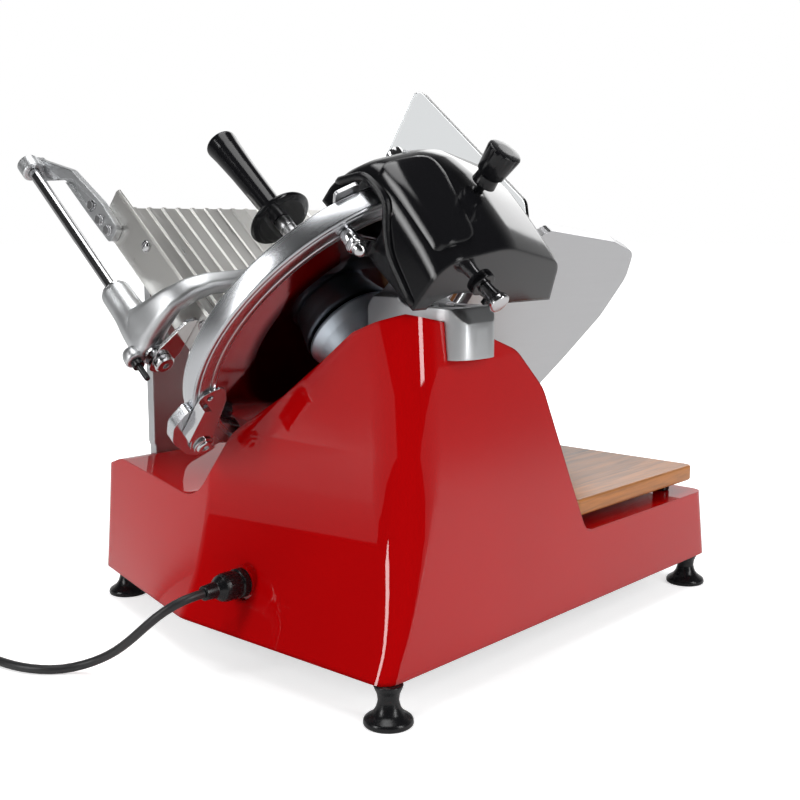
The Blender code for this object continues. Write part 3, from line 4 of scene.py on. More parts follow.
import bmesh
import bpy
from bpy.props import FloatProperty, FloatVectorProperty, PointerProperty
from mathutils import Matrix, Vector


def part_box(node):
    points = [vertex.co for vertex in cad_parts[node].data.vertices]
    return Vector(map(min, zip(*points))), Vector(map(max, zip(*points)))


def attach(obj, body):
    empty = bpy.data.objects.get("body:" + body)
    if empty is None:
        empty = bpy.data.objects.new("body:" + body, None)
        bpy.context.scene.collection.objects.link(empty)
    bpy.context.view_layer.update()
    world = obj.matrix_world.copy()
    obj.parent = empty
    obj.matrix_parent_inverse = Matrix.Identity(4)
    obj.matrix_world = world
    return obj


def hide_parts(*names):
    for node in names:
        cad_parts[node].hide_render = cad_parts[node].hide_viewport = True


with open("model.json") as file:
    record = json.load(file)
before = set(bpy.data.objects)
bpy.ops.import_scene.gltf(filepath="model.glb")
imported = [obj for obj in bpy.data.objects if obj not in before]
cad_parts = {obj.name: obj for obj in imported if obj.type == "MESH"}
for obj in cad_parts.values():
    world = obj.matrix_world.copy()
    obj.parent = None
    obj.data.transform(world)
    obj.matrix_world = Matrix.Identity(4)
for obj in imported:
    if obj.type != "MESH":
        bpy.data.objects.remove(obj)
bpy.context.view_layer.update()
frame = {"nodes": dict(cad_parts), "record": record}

bl_info = {
    "name": "Gravity feed slicer",
    "version": (1, 0, 0),
    "blender": (4, 5, 0),
    "location": "View3D > Sidebar > Slicer",
    "description": "Dresses the slicer's frame with its finished pieces",
    "category": "Object",
}

JOINTS = {joint["name"]: joint for joint in frame["record"]["behaviour"]["joints"]}
BLADE_CENTRE = Vector(JOINTS["blade_spin"]["pos_m"])
FEED = Vector(JOINTS["blade_spin"]["axis"]).normalized()
REARWARD = Vector((0, 1, 0))
UPHILL = FEED.cross(REARWARD)
LEAN = Matrix.Translation(BLADE_CENTRE) @ Matrix((REARWARD, UPHILL, FEED)).transposed().to_4x4()
SHIFT = BLADE_CENTRE - Vector((-0.0524, 0.106, 0.2458))
MACHINE = Matrix.Translation(SHIFT)
TO_Y = Matrix.Rotation(math.radians(-90), 4, "X")
TO_X = Matrix.Rotation(math.radians(90), 4, "Y")
TO_WALL = Matrix(((0, 0, 1, 0), (1, 0, 0, 0), (0, 1, 0, 0), (0, 0, 0, 1)))
SIDEWAYS = Matrix(((1, 0, 0, 0), (0, 0, 1, 0), (0, 1, 0, 0), (0, 0, 0, 1)))
SEAT = 0.0003

# Places on the leaning plane, as (rearward, uphill) from the blade's centre
ROD_PLACE = (0.034, -0.145)
PIN_PLACE = (0.034 + 0.0165, -0.1535)
STEM_PLACE = (-0.106, -0.065)
LUG_PLACE = (0.0888, -0.1032)
TIE_PLACE = (0.0725, 0.0945)
BAR_PLACE = (-0.271, -0.172)
GRIND_PLACE = (0.009, 0.110)
DEBUR_PLACE = (-0.004, 0.1165)
POST_S = -0.034
RING_BACK = -0.014
COVER_NEAR = -0.080

# Places on the machine
SUPPORT_BOLT = (-0.150, 0.107)
GUIDE_PLACE = (0.160, 0, 0.074)
DIAL_PLACE = (-0.0126, 0, 0.0525)
STRIP_WIDTH = 0.041


# ---------------------------------------------------------------- sizes and colours

class SlicerSizes(bpy.types.PropertyGroup):
    edge_rounding: FloatProperty(
        name="Edge rounding", description="Radius of the small rounded edges of metal pieces",
        default=0.0008, unit="LENGTH")
    casing_rounding: FloatProperty(
        name="Casing rounding", description="Radius of the casing's rounded edges",
        default=0.0045, unit="LENGTH")
    cord_diameter: FloatProperty(
        name="Cord diameter", description="Outside diameter of the mains cord",
        default=0.0064, unit="LENGTH")
    coil_pitch: FloatProperty(
        name="Coil pitch", description="Distance from one turn of the coiled cord to the next",
        default=0.0071, unit="LENGTH")


class SlicerColours(bpy.types.PropertyGroup):
    enamel: FloatVectorProperty(
        name="Enamel", description="Colour of the casing's enamel", subtype="COLOR",
        default=(0.42, 0.0006, 0.0014))
    steel: FloatVectorProperty(
        name="Steel", description="Colour of the polished steel", subtype="COLOR",
        default=(0.56, 0.56, 0.57))
    cast: FloatVectorProperty(
        name="Cast aluminium", description="Colour of the cast pieces", subtype="COLOR",
        default=(0.55, 0.56, 0.57))
    satin: FloatVectorProperty(
        name="Satin aluminium", description="Colour of the anodised plates", subtype="COLOR",
        default=(0.50, 0.50, 0.51))
    plastic: FloatVectorProperty(
        name="Black plastic", description="Colour of the knobs and covers", subtype="COLOR",
        default=(0.006, 0.006, 0.007))
    wood: FloatVectorProperty(
        name="Wood", description="Light tone of the oiled board", subtype="COLOR",
        default=(0.50, 0.19, 0.045))
    clear: FloatVectorProperty(
        name="Clear plastic", description="Tint of the hand guard", subtype="COLOR",
        default=(0.90, 0.92, 0.93))


# ---------------------------------------------------------------- finishes

class Finish:
    """A node material on object coordinates, built up from a Principled shader."""

    def __init__(self, name):
        self.made = bpy.data.materials.new(name)
        self.made.use_nodes = True
        self.tree = self.made.node_tree
        self.shader = self.tree.nodes["Principled BSDF"]
        self.place = self.tree.nodes.new("ShaderNodeTexCoord").outputs["Object"]
        self.normal = None

    def node(self, kind, **inputs):
        made = self.tree.nodes.new("ShaderNode" + kind)
        for name, value in inputs.items():
            self.feed(made.inputs[name.replace("_", " ")], value)
        return made

    def feed(self, socket, value):
        if isinstance(value, bpy.types.NodeSocket):
            self.tree.links.new(value, socket)
        else:
            socket.default_value = value

    def set(self, **inputs):
        for name, value in inputs.items():
            self.feed(self.shader.inputs[name.replace("_", " ")], value)
        return self

    def maths(self, operation, first, second=None, kind="Math"):
        """A calculating node fed with one or two values."""
        made = self.node(kind)
        made.operation = operation
        self.feed(made.inputs[0], first)
        if second is not None:
            self.feed(made.inputs[1], second)
        return made

    def stretched(self, scale, turn=(0, 0, 0), shift=(0, 0, 0)):
        mapping = self.node("Mapping", Vector=self.place, Scale=scale, Rotation=turn,
                            Location=shift)
        return mapping.outputs["Vector"]

    def lathe(self, squeeze):
        """Coordinates that run outward from the blade's axis and along it."""
        away = self.maths("SUBTRACT", self.place, tuple(BLADE_CENTRE), "VectorMath")
        parts = [self.maths("DOT_PRODUCT", away.outputs["Vector"], tuple(direction),
                            "VectorMath").outputs["Value"]
                 for direction in (REARWARD, UPHILL, FEED)]
        flat = self.node("CombineXYZ", X=parts[0], Y=parts[1])
        length = self.maths("LENGTH", flat.outputs["Vector"], kind="VectorMath")
        wide = self.maths("MULTIPLY", length.outputs["Value"], squeeze)
        deep = self.maths("MULTIPLY", parts[2], squeeze)
        return self.node("CombineXYZ", X=wide.outputs["Value"],
                         Y=deep.outputs["Value"]).outputs["Vector"]

    def noise(self, scale, detail=3.0, vector=None, roughness=0.5, distortion=0.0):
        made = self.node("TexNoise", Vector=vector or self.place, Scale=scale, Detail=detail,
                         Roughness=roughness, Distortion=distortion)
        return made.outputs["Fac"]

    def ramp(self, fac, *stops):
        made = self.node("ValToRGB", Fac=fac)
        band = made.color_ramp
        while len(band.elements) < len(stops):
            band.elements.new(0.5)
        for element, (where, colour) in zip(band.elements, stops):
            element.position = where
            element.color = (*colour, 1) if len(colour) == 3 else colour
        return made.outputs["Color"]

    def level(self, fac, low, high):
        made = self.node("MapRange", Value=fac, To_Min=low, To_Max=high)
        return made.outputs["Result"]

    def rounded(self, radius):
        self.normal = self.node("Bevel", Radius=radius).outputs["Normal"]
        return self

    def bump(self, height, distance, strength=1.0):
        made = self.node("Bump", Height=height, Distance=distance, Strength=strength)
        if self.normal:
            self.feed(made.inputs["Normal"], self.normal)
        self.normal = made.outputs["Normal"]
        return self

    def done(self):
        if self.normal:
            self.feed(self.shader.inputs["Normal"], self.normal)
        return self.made


def make_finishes():
    """All the slicer's finishes by name."""
    colour = bpy.context.scene.slicer_colours
    size = bpy.context.scene.slicer_sizes
    edge = size.edge_rounding
    made = {}

    enamel = Finish("red_enamel")
    base = Vector(colour.enamel)
    tone = enamel.ramp(enamel.noise(6.0, 2.0), (0.3, base * 0.90), (0.7, base * 1.02))
    enamel.set(Base_Color=tone, Roughness=enamel.level(enamel.noise(40.0), 0.28, 0.36),
               Coat_Weight=1.0, Coat_Roughness=0.025, Coat_IOR=1.50, Specular_IOR_Level=0.0)
    enamel.rounded(size.casing_rounding).bump(enamel.noise(260.0, 2.0), 0.00002)
    made["enamel"] = enamel.done()

    steel = Finish("polished_steel")
    steel.set(Base_Color=(*colour.steel, 1), Metallic=1.0,
              Roughness=steel.level(steel.noise(90.0, 4.0, steel.stretched((1, 9, 1))), 0.10, 0.20))
    steel.rounded(edge).bump(steel.noise(900.0, 2.0, steel.stretched((1, 12, 1))), 0.000004)
    made["steel"] = steel.done()

    mirror = Finish("blade_steel_painted_dark_reflection")
    rings = mirror.noise(1.0, 3.0, mirror.lathe(300.0))
    # Base colour by distance from the blade's axis: nearly black inside 0.084, steel grey outside
    # 0.090. The black centre is a painted dark reflection on the blade's flat face, and the grey
    # outer ring is plain steel.
    split = mirror.node("SeparateXYZ", Vector=mirror.lathe(1.0))
    band = mirror.node("MapRange", Value=split.outputs["X"], From_Min=0.084, From_Max=0.090)
    mirror.set(Base_Color=mirror.ramp(band.outputs["Result"], (0.0, (0.085, 0.085, 0.095)),
                                      (1.0, (0.48, 0.47, 0.50))),
               Metallic=1.0, Roughness=mirror.level(rings, 0.05, 0.13))
    mirror.bump(rings, 0.0000025)
    made["blade"] = mirror.done()

    guard = Finish("polished_guard_ring")
    rings = guard.noise(1.0, 2.0, guard.lathe(260.0))
    guard.set(Base_Color=(0.50, 0.51, 0.53, 1), Metallic=1.0,
              Roughness=guard.level(rings, 0.20, 0.34))
    guard.rounded(edge).bump(rings, 0.000004)
    made["ring"] = guard.done()

    hub = Finish("turned_hub")
    rings = hub.noise(1.0, 3.0, hub.lathe(700.0))
    hub.set(Base_Color=(0.78, 0.86, 0.94, 1), Metallic=1.0,
            Roughness=hub.level(rings, 0.38, 0.50))
    hub.rounded(edge).bump(rings, 0.000008)
    made["hub"] = hub.done()

    cast = Finish("blasted_cast_aluminium")
    grain = cast.noise(1100.0, 3.0)
    tone = cast.ramp(cast.noise(25.0), (0.35, Vector(colour.cast) * 0.95),
                     (0.65, Vector(colour.cast) * 1.04))
    cast.set(Base_Color=tone, Metallic=1.0, Roughness=cast.level(grain, 0.34, 0.46))
    cast.rounded(0.0018).bump(grain, 0.00003)
    made["cast"] = cast.done()

    satin = Finish("anodised_aluminium")
    brush = satin.noise(420.0, 3.0, satin.stretched((1, 0.04, 1)))
    satin.set(Base_Color=(*colour.satin, 1), Metallic=1.0,
              Roughness=satin.level(brush, 0.26, 0.38))
    satin.rounded(edge).bump(brush, 0.00001)
    made["satin"] = satin.done()

    table = Finish("anodised_table")
    brush = table.noise(420.0, 3.0, table.stretched((0.05, 1, 0.05)))
    table.set(Base_Color=(0.82, 0.81, 0.78, 1), Metallic=1.0,
              Roughness=table.level(brush, 0.24, 0.36))
    table.rounded(0.0004).bump(brush, 0.00001)
    made["table"] = table.done()

    for key, name, tint, *rest in PLAIN_FINISHES:
        made[key] = plain_finish(name, tint or colour.plastic, *rest)
    made["wood"] = wood_finish(Vector(colour.wood))

    clear = Finish("clear_guard_plastic")
    clear.set(Base_Color=(*colour.clear, 1), Roughness=0.02, IOR=1.46, Transmission_Weight=1.0,
              Specular_IOR_Level=0.5)
    clear.bump(clear.noise(6.0, 1.0), 0.00002)
    made["clear"] = clear.done()

    stone = Finish("grinding_stone")
    speck = stone.noise(1800.0, 2.0)
    stone.set(Base_Color=stone.ramp(speck, (0.35, (0.20, 0.16, 0.15)), (0.65, (0.42, 0.37, 0.35))),
              Roughness=0.9)
    stone.bump(speck, 0.0002)
    made["stone"] = stone.done()
    return made


# Key, name, tint (or the panel's plastic), specular level, scale of the roughness, its
# low and high, edge radius, scale of the grain and its depth
PLAIN_FINISHES = (
    ("plastic", "gloss_black_plastic", None, 0.30, 60.0, 0.10, 0.16, 0.0012, 300.0, 0.00001),
    ("panel", "gloss_black_panel", None, 0.35, 60.0, 0.08, 0.12, 0.0032, 300.0, 0.00001),
    ("grip", "moulded_grip_plastic", None, 0.35, 700.0, 0.22, 0.32, 0.0008, 1500.0, 0.00001),
    ("rubber", "black_foot_rubber", (0.006, 0.006, 0.007), 0.35, 500.0, 0.20, 0.32, 0.0006,
     1600.0, 0.00002),
    ("sheath", "cord_sheath", (0.012, 0.012, 0.013), 0.50, 400.0, 0.38, 0.50, 0.0, 1200.0,
     0.00002),
    ("green", "button_green", (0.03, 0.32, 0.07), 0.50, 600.0, 0.30, 0.40, 0.0006, 1500.0,
     0.00001),
    ("stop", "button_stop", (0.50, 0.012, 0.012), 0.50, 600.0, 0.30, 0.40, 0.0006, 1500.0,
     0.00001),
)


def plain_finish(name, tint, specular, scale, smooth, rough, edge, fine, depth):
    """A plastic or rubber of one tint, with its roughness and its fine grain varied."""
    made = Finish(name)
    made.set(Base_Color=(*tint, 1), Specular_IOR_Level=specular,
             Roughness=made.level(made.noise(scale), smooth, rough))
    if edge > 0:
        made.rounded(edge)
    return made.bump(made.noise(fine, 2.0), depth).done()


def wood_finish(light):
    """Oiled board: strips glued side by side, each with its own tone and long grain."""
    wood = Finish("oiled_board_wood")
    split = wood.node("SeparateXYZ", Vector=wood.place)
    strip = wood.maths("DIVIDE", split.outputs["X"], STRIP_WIDTH)
    floor = wood.maths("FLOOR", strip.outputs["Value"])
    own = wood.node("TexWhiteNoise")
    own.noise_dimensions = "1D"
    wood.feed(own.inputs["W"], floor.outputs["Value"])
    slide = wood.node("CombineXYZ", X=own.outputs["Value"], Y=own.outputs["Value"])
    slid = wood.maths("ADD", wood.place, slide.outputs["Vector"], "VectorMath")
    long_grain = wood.node("Mapping", Vector=slid.outputs["Vector"], Scale=(1, 0.09, 1))
    grain = wood.noise(55.0, 6.0, long_grain.outputs["Vector"], 0.6, 1.2)
    fibre = wood.noise(420.0, 4.0, long_grain.outputs["Vector"], 0.6)
    dark = light * 0.22
    tone = wood.ramp(grain, (0.30, dark), (0.43, light * 0.62), (0.55, light),
                     (0.75, light * 1.25))
    strip_tone = wood.level(own.outputs["Value"], 0.72, 1.12)
    mixed = wood.node("HueSaturation", Color=tone, Value=strip_tone)
    fine = wood.node("Mix")
    fine.data_type = "RGBA"
    fine.blend_type = "MULTIPLY"
    wood.feed(fine.inputs[0], 0.35)
    wood.feed(fine.inputs[6], mixed.outputs["Color"])
    wood.feed(fine.inputs[7], wood.ramp(fibre, (0.3, (0.45, 0.38, 0.3)), (0.7, (1, 1, 1))))
    wood.set(Base_Color=fine.outputs[2], Roughness=wood.level(fibre, 0.30, 0.48),
             Coat_Weight=0.15, Coat_Roughness=0.25)
    wood.bump(fibre, 0.00008)
    return wood.done()


FINISH = {}


# ---------------------------------------------------------------- making pieces

def piece(name, bm, finish, body, place=None, stands_for=(), edge=0.0, sharp=32):
    """Turn a mesh into a piece in its place, riding on its body."""
    bmesh.ops.remove_doubles(bm, verts=bm.verts, dist=1e-6)
    if place is not None:
        bmesh.ops.transform(bm, matrix=place, verts=bm.verts)
    bmesh.ops.recalc_face_normals(bm, faces=bm.faces)
    mesh = bpy.data.meshes.new(name)
    bm.to_mesh(mesh)
    bm.free()
    mesh.shade_smooth()
    made = bpy.data.objects.new(name, mesh)
    bpy.context.collection.objects.link(made)
    made.data.materials.append(FINISH[finish])
    if edge > 0:
        bevel = made.modifiers.new("edges", "BEVEL")
        bevel.width = edge
        bevel.segments = 3
        bevel.limit_method = "ANGLE"
        bevel.angle_limit = math.radians(sharp)
        weighted = made.modifiers.new("flat_faces", "WEIGHTED_NORMAL")
        weighted.keep_sharp = True
    else:
        mesh.set_sharp_from_angle(angle=math.radians(sharp))
    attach(made, body)
    if stands_for:
        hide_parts(*stands_for)
    return made


def rounded(corners, steps=8):
    """An outline from corners (x, y, radius), with each round corner as a curve."""
    points = []
    for index, (x, y, radius) in enumerate(corners):
        here = Vector((x, y))
        if radius <= 0:
            points.append(here)
            continue
        before = Vector(corners[index - 1][:2]) - here
        after = Vector(corners[(index + 1) % len(corners)][:2]) - here
        half = before.angle(after) / 2
        reach = min(radius / math.tan(half), 0.49 * before.length, 0.49 * after.length)
        start = here + before.normalized() * reach
        end = here + after.normalized() * reach
        for step in range(steps + 1):
            way = step / steps
            points.append(start.lerp(here, way).lerp(here.lerp(end, way), way))
    return points


def box_outline(x0, x1, y0, y1, radius=0.0, steps=6):
    corners = ((x0, y0), (x1, y0), (x1, y1), (x0, y1))
    return rounded([(x, y, radius) for x, y in corners], steps)


def drawn(outline, low, high):
    """An outline drawn out from low to high along Z."""
    bm = bmesh.new()
    face = bm.faces.new([bm.verts.new((point[0], point[1], low)) for point in outline])
    region = bmesh.ops.extrude_face_region(bm, geom=[face])
    moved = [item for item in region["geom"] if isinstance(item, bmesh.types.BMVert)]
    bmesh.ops.translate(bm, verts=moved, vec=(0, 0, high - low))
    return bm


def skinned(rings):
    """A skin through rings of points, filled at its first and last ring."""
    bm = bmesh.new()
    loops = []
    for number, points in enumerate(rings):
        ring = [bm.verts.new(point) for point in points]
        loops.append([bm.edges.new((a, b)) for a, b in zip(ring, ring[1:] + ring[:1])])
        if number in (0, len(rings) - 1):
            bm.faces.new(ring)
    for near, far in zip(loops, loops[1:]):
        bmesh.ops.bridge_loops(bm, edges=near + far)
    return bm


def lofted(sections, steps=7):
    """A bar of rounded section along the leaning plane.

    Each section is its centre (u, v), its heading, its half width and its low and high.
    """
    rings = []
    for (u, v), heading, half, low, high in sections:
        across = Vector((heading[1], -heading[0])).normalized()
        corner = min(half, (high - low) / 2) * 0.8
        outline = box_outline(-half, half, low, high, corner, steps)
        rings.append([(u + across.x * w, v + across.y * w, h) for w, h in outline])
    return skinned(rings)


def spun(profile, steps=96, start=0.0, sweep=math.tau):
    """A profile of (radius, height) points spun about Z."""
    bm = bmesh.new()
    verts = [bm.verts.new((radius, 0, height)) for radius, height in profile]
    edges = [bm.edges.new(pair) for pair in zip(verts, verts[1:])]
    bmesh.ops.rotate(bm, verts=verts, matrix=Matrix.Rotation(start, 3, "Z"))
    whole = abs(sweep - math.tau) < 1e-6
    bmesh.ops.spin(bm, geom=verts + edges, axis=(0, 0, 1), angle=sweep, steps=steps,
                   use_merge=whole)
    bmesh.ops.remove_doubles(bm, verts=bm.verts, dist=1e-6)
    if not whole:
        bmesh.ops.holes_fill(bm, edges=[edge for edge in bm.edges if edge.is_boundary])
    return bm


def soft_profile(points, radius=0.0008, steps=3):
    """A profile whose inner corners are rounded; its ends on the axis stay."""
    out = [Vector(points[0])]
    for before, here, after in zip(points, points[1:], points[2:]):
        here = Vector(here)
        back = Vector(before) - here
        on = Vector(after) - here
        reach = min(radius, 0.45 * back.length, 0.45 * on.length)
        start = here + back.normalized() * reach
        end = here + on.normalized() * reach
        for step in range(steps + 1):
            way = step / steps
            out.append(start.lerp(here, way).lerp(here.lerp(end, way), way))
    out.append(Vector(points[-1]))
    return out


def rod(radius, low, high, steps=48, edge=0.0):
    profile = [(0, low), (radius, low), (radius, high), (0, high)]
    if edge > 0:
        profile = [(0, low), (radius - edge, low), (radius, low + edge), (radius, high - edge),
                   (radius - edge, high), (0, high)]
    return spun(profile, steps)


def hexagon(across, low, high):
    radius = across / math.sqrt(3)
    return drawn([(radius * math.cos(k * math.pi / 3), radius * math.sin(k * math.pi / 3))
                  for k in range(6)], low, high)


def at(bm, matrix):
    bmesh.ops.transform(bm, matrix=matrix, verts=bm.verts)
    return bm


def moved(x=0.0, y=0.0, z=0.0):
    return Matrix.Translation((x, y, z))


def work_object(bm):
    bmesh.ops.remove_doubles(bm, verts=bm.verts, dist=1e-6)
    bmesh.ops.recalc_face_normals(bm, faces=bm.faces)
    mesh = bpy.data.meshes.new("work")
    bm.to_mesh(mesh)
    bm.free()
    made = bpy.data.objects.new("work", mesh)
    bpy.context.collection.objects.link(made)
    return made


def carved(base, less=(), plus=(), keep=()):
    """A solid with others joined to it, kept only inside some, then others cut from it."""
    target = work_object(base)
    tools = []
    for operation, group in (("UNION", plus), ("INTERSECT", keep), ("DIFFERENCE", less)):
        for bm in group:
            tool = work_object(bm)
            modifier = target.modifiers.new("step", "BOOLEAN")
            modifier.operation = operation
            modifier.object = tool
            modifier.solver = "EXACT"
            tools.append(tool)
    bpy.context.view_layer.update()
    deps = bpy.context.evaluated_depsgraph_get()
    out = bmesh.new()
    out.from_mesh(target.evaluated_get(deps).to_mesh())
    for old in [target] + tools:
        mesh = old.data
        bpy.data.objects.remove(old, do_unlink=True)
        bpy.data.meshes.remove(mesh)
    return out


def dress(finish, *nodes):
    """Give CAD nodes that keep their shape a better finish."""
    for name in nodes:
        node = frame["nodes"][name]
        if not node.material_slots:
            node.data.materials.append(FINISH[finish])
        for holder in node.material_slots:
            holder.material = FINISH[finish]


# ---------------------------------------------------------------- stage

def make_stage():
    bpy.ops.mesh.primitive_plane_add(size=30, location=(0, 0, 0))
    floor = bpy.context.object
    floor.name = "floor"
    pale = Finish("pale_floor")
    pale.set(Base_Color=(0.80, 0.80, 0.80, 1), Roughness=pale.level(pale.noise(3.0), 0.75, 0.8),
             Specular_IOR_Level=0.0)
    path = pale.node("LightPath")
    also = pale.maths("MAXIMUM", path.outputs["Is Camera Ray"],
                      path.outputs["Is Transmission Ray"])
    away = pale.maths("LENGTH", pale.place, kind="VectorMath")
    far = pale.node("MapRange", Value=away.outputs["Value"], From_Min=0.35, From_Max=1.1,
                    To_Min=0.55, To_Max=1.0)
    glow_level = pale.maths("MULTIPLY", also.outputs["Value"], far.outputs["Result"])
    glow = pale.node("Emission", Color=(1, 1, 1, 1), Strength=glow_level.outputs["Value"])
    both = pale.node("AddShader")
    pale.feed(both.inputs[0], pale.shader.outputs["BSDF"])
    pale.feed(both.inputs[1], glow.outputs["Emission"])
    pale.feed(pale.tree.nodes["Material Output"].inputs["Surface"], both.outputs["Shader"])
    floor.data.materials.append(pale.done())

    world = bpy.data.worlds.new("studio")
    bpy.context.scene.world = world
    world.use_nodes = True
    tree = world.node_tree
    back = tree.nodes["Background"]
    path = tree.nodes.new("ShaderNodeLightPath")
    seen = path.outputs["Is Camera Ray"]
    for way in ("Is Glossy Ray", "Is Transmission Ray"):
        either = tree.nodes.new("ShaderNodeMath")
        either.operation = "MAXIMUM"
        tree.links.new(seen, either.inputs[0])
        tree.links.new(path.outputs[way], either.inputs[1])
        seen = either.outputs["Value"]
    strength = tree.nodes.new("ShaderNodeMapRange")
    strength.inputs["To Min"].default_value = 0.42
    strength.inputs["To Max"].default_value = 1.0
    tree.links.new(seen, strength.inputs["Value"])
    room = tree.nodes.new("ShaderNodeVectorMath")
    room.operation = "DOT_PRODUCT"
    tree.links.new(tree.nodes.new("ShaderNodeTexCoord").outputs["Generated"], room.inputs[0])
    room.inputs[1].default_value = (-0.55, 0.62, 0.55)
    shade = tree.nodes.new("ShaderNodeMapRange")
    shade.interpolation_type = "SMOOTHSTEP"
    shade.inputs["From Min"].default_value = -0.70
    shade.inputs["From Max"].default_value = 0.10
    shade.inputs["To Min"].default_value = 0.85
    shade.inputs["To Max"].default_value = 0.03
    tree.links.new(room.outputs["Value"], shade.inputs["Value"])
    dim = tree.nodes.new("ShaderNodeMix")
    tree.links.new(path.outputs["Is Glossy Ray"], dim.inputs[0])
    dim.inputs[2].default_value = 1.0
    tree.links.new(shade.outputs["Result"], dim.inputs[3])
    level = tree.nodes.new("ShaderNodeMath")
    level.operation = "MULTIPLY"
    tree.links.new(strength.outputs["Result"], level.inputs[0])
    tree.links.new(dim.outputs[0], level.inputs[1])
    tree.links.new(level.outputs["Value"], back.inputs["Strength"])
    back.inputs["Color"].default_value = (1, 1, 1, 1)

    softbox("over", (0.1, 0.1, 2.1), (0.0, 0.0, 0.1), (1.5, 1.0), 22)
    softbox("rear_left", (-1.6, -0.15, 0.8), (-0.05, 0.0, 0.2), (0.30, 1.2), 12)
    softbox("rear_right", (0.35, 1.75, 0.80), (0.0, 0.0, 0.15), (0.36, 1.1), 13)
    softbox("front", (0.6, -1.8, 1.3), (0.0, 0.0, 0.2), (1.3, 1.0), 10)


def softbox(name, place, aim, size, power):
    lamp = bpy.data.lights.new(name, "AREA")
    lamp.shape = "RECTANGLE"
    lamp.size = size[0]
    lamp.size_y = size[1]
    lamp.energy = power
    made = bpy.data.objects.new(name, lamp)
    bpy.context.collection.objects.link(made)
    made.location = place
    made.rotation_euler = (Vector(aim) - Vector(place)).to_track_quat("-Z", "Y").to_euler()


def make_camera():
    data = bpy.data.cameras.new("camera")
    data.lens = 53.3
    data.sensor_width = 36
    camera = bpy.data.objects.new("camera", data)
    bpy.context.collection.objects.link(camera)
    camera.location = Vector((-0.6563, 0.7248, 0.3143)) + SHIFT
    pitch = math.radians(8.51)
    heading = Vector((0.664 * math.cos(pitch), -0.7477 * math.cos(pitch), -math.sin(pitch)))
    camera.rotation_euler = heading.to_track_quat("-Z", "Y").to_euler()
    bpy.context.scene.camera = camera


# ---------------------------------------------------------------- cord

CORD_ROUTE = (
    (-33, 227, 62), (-32.8, 235.5, 61.6), (-31.0, 244, 60.0), (-26.8, 251.6, 56.0),
    (-20.0, 257.5, 49.5), (-10.0, 261.8, 40), (2, 264.6, 29.5), (15.5, 267.2, 19.5),
    (29.0, 271.0, 11.5), (40.6, 277.2, 6.2), (48.6, 285.4, 4.0), (56.0, 293.4, 3.6),
    (65.5, 300.0, 3.6), (77, 304.6, 3.6), (90, 307.4, 3.6), (106, 308.8, 3.6), (122, 309, 3.6),
    (136, 309, 3.6),
)
COIL_CENTRE = Vector((0.150, 0.353))
COIL_R = 0.044
COIL_TURNS = 5.0
GLAND = Vector((-0.033, 0.1915, 0.062))


def smooth_route(points, count):
    """Evenly spaced points on a smooth curve through the given ones."""
    ends = [points[0] * 2 - points[1]] + points + [points[-1] * 2 - points[-2]]
    fine = []
    for a, b, c, d in zip(ends, ends[1:], ends[2:], ends[3:]):
        for step in range(20):
            t = step / 20
            fine.append(0.5 * ((2 * b) + (c - a) * t + (2 * a - 5 * b + 4 * c - d) * t * t
                               + (3 * b - a - 3 * c + d) * t ** 3))
    fine.append(points[-1])
    along = [0.0]
    for a, b in zip(fine, fine[1:]):
        along.append(along[-1] + (b - a).length)
    even = []
    index = 0
    for number in range(count):
        target = along[-1] * number / (count - 1)
        while index < len(fine) - 2 and along[index + 1] < target:
            index += 1
        span = along[index + 1] - along[index]
        even.append(fine[index].lerp(fine[index + 1], (target - along[index]) / span))
    return even


def coil_points(height, pitch):
    points = []
    total = round(24 * COIL_TURNS)
    for number in range(total + 1):
        radius = COIL_R - pitch * min(number, total - number) / 24
        climb = min(max((number - total / 2) / 12 + 0.5, 0), 1)
        angle = math.radians(-90) + math.tau * number / 24
        points.append(Vector((COIL_CENTRE.x + radius * math.cos(angle),
                              COIL_CENTRE.y + radius * math.sin(angle),
                              height + pitch * (3 * climb * climb - 2 * climb ** 3))))
    return points


def make_cord():
    size = bpy.context.scene.slicer_sizes
    half = size.cord_diameter / 2
    floor = half + 0.0004
    run = smooth_route([Vector(point) / 1000 for point in CORD_ROUTE], 30)
    coil = coil_points(floor, size.coil_pitch)
    tail_end = coil[-1] + Vector((0.052, 0, 0.0139 - coil[-1].z))
    tail = [coil[-1] + Vector((0.013, 0, 0)), coil[-1] + Vector((0.029, 0, 0.0017)),
            tail_end + Vector((-0.0065, 0, 0)), tail_end]
    points = [point + SHIFT for point in run + coil + tail]
    curve = bpy.data.curves.new("mains_cord", "CURVE")
    curve.dimensions = "3D"
    curve.bevel_depth = half
    curve.bevel_resolution = 6
    curve.use_fill_caps = True
    line = curve.splines.new("POLY")
    line.points.add(len(points) - 1)
    for point, place in zip(line.points, points):
        point.co = (*place, 1)
    line.use_smooth = True
    curve.materials.append(FINISH["sheath"])
    cord = bpy.data.objects.new("mains_cord", curve)
    bpy.context.collection.objects.link(cord)
    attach(cord, "base")
    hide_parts("power_cord", "cord_coil")
    place = MACHINE @ moved(0, tail_end.y, tail_end.z) @ TO_X
    front = tail_end.x + SEAT
    plug = carved(spun(soft_profile([
        (0, front), (0.0048, front), (0.0060, front + 0.014), (0.0095, front + 0.017),
        (0.0120, front + 0.030), (0.0135, front + 0.038), (0.0135, front + 0.044),
        (0, front + 0.044)], 0.0012, 4), 64), less=[
            at(drawn(box_outline(-0.002, 0.002, -0.020, 0.020, 0.001), 0, 0.0012),
               moved(0.0128, 0, front + 0.036) @ Matrix.Rotation(math.pi / 2, 4, "Y"))])
    plug = piece("mains_plug", plug, "grip", "base", place, ("power_plug",))
    make_gland()


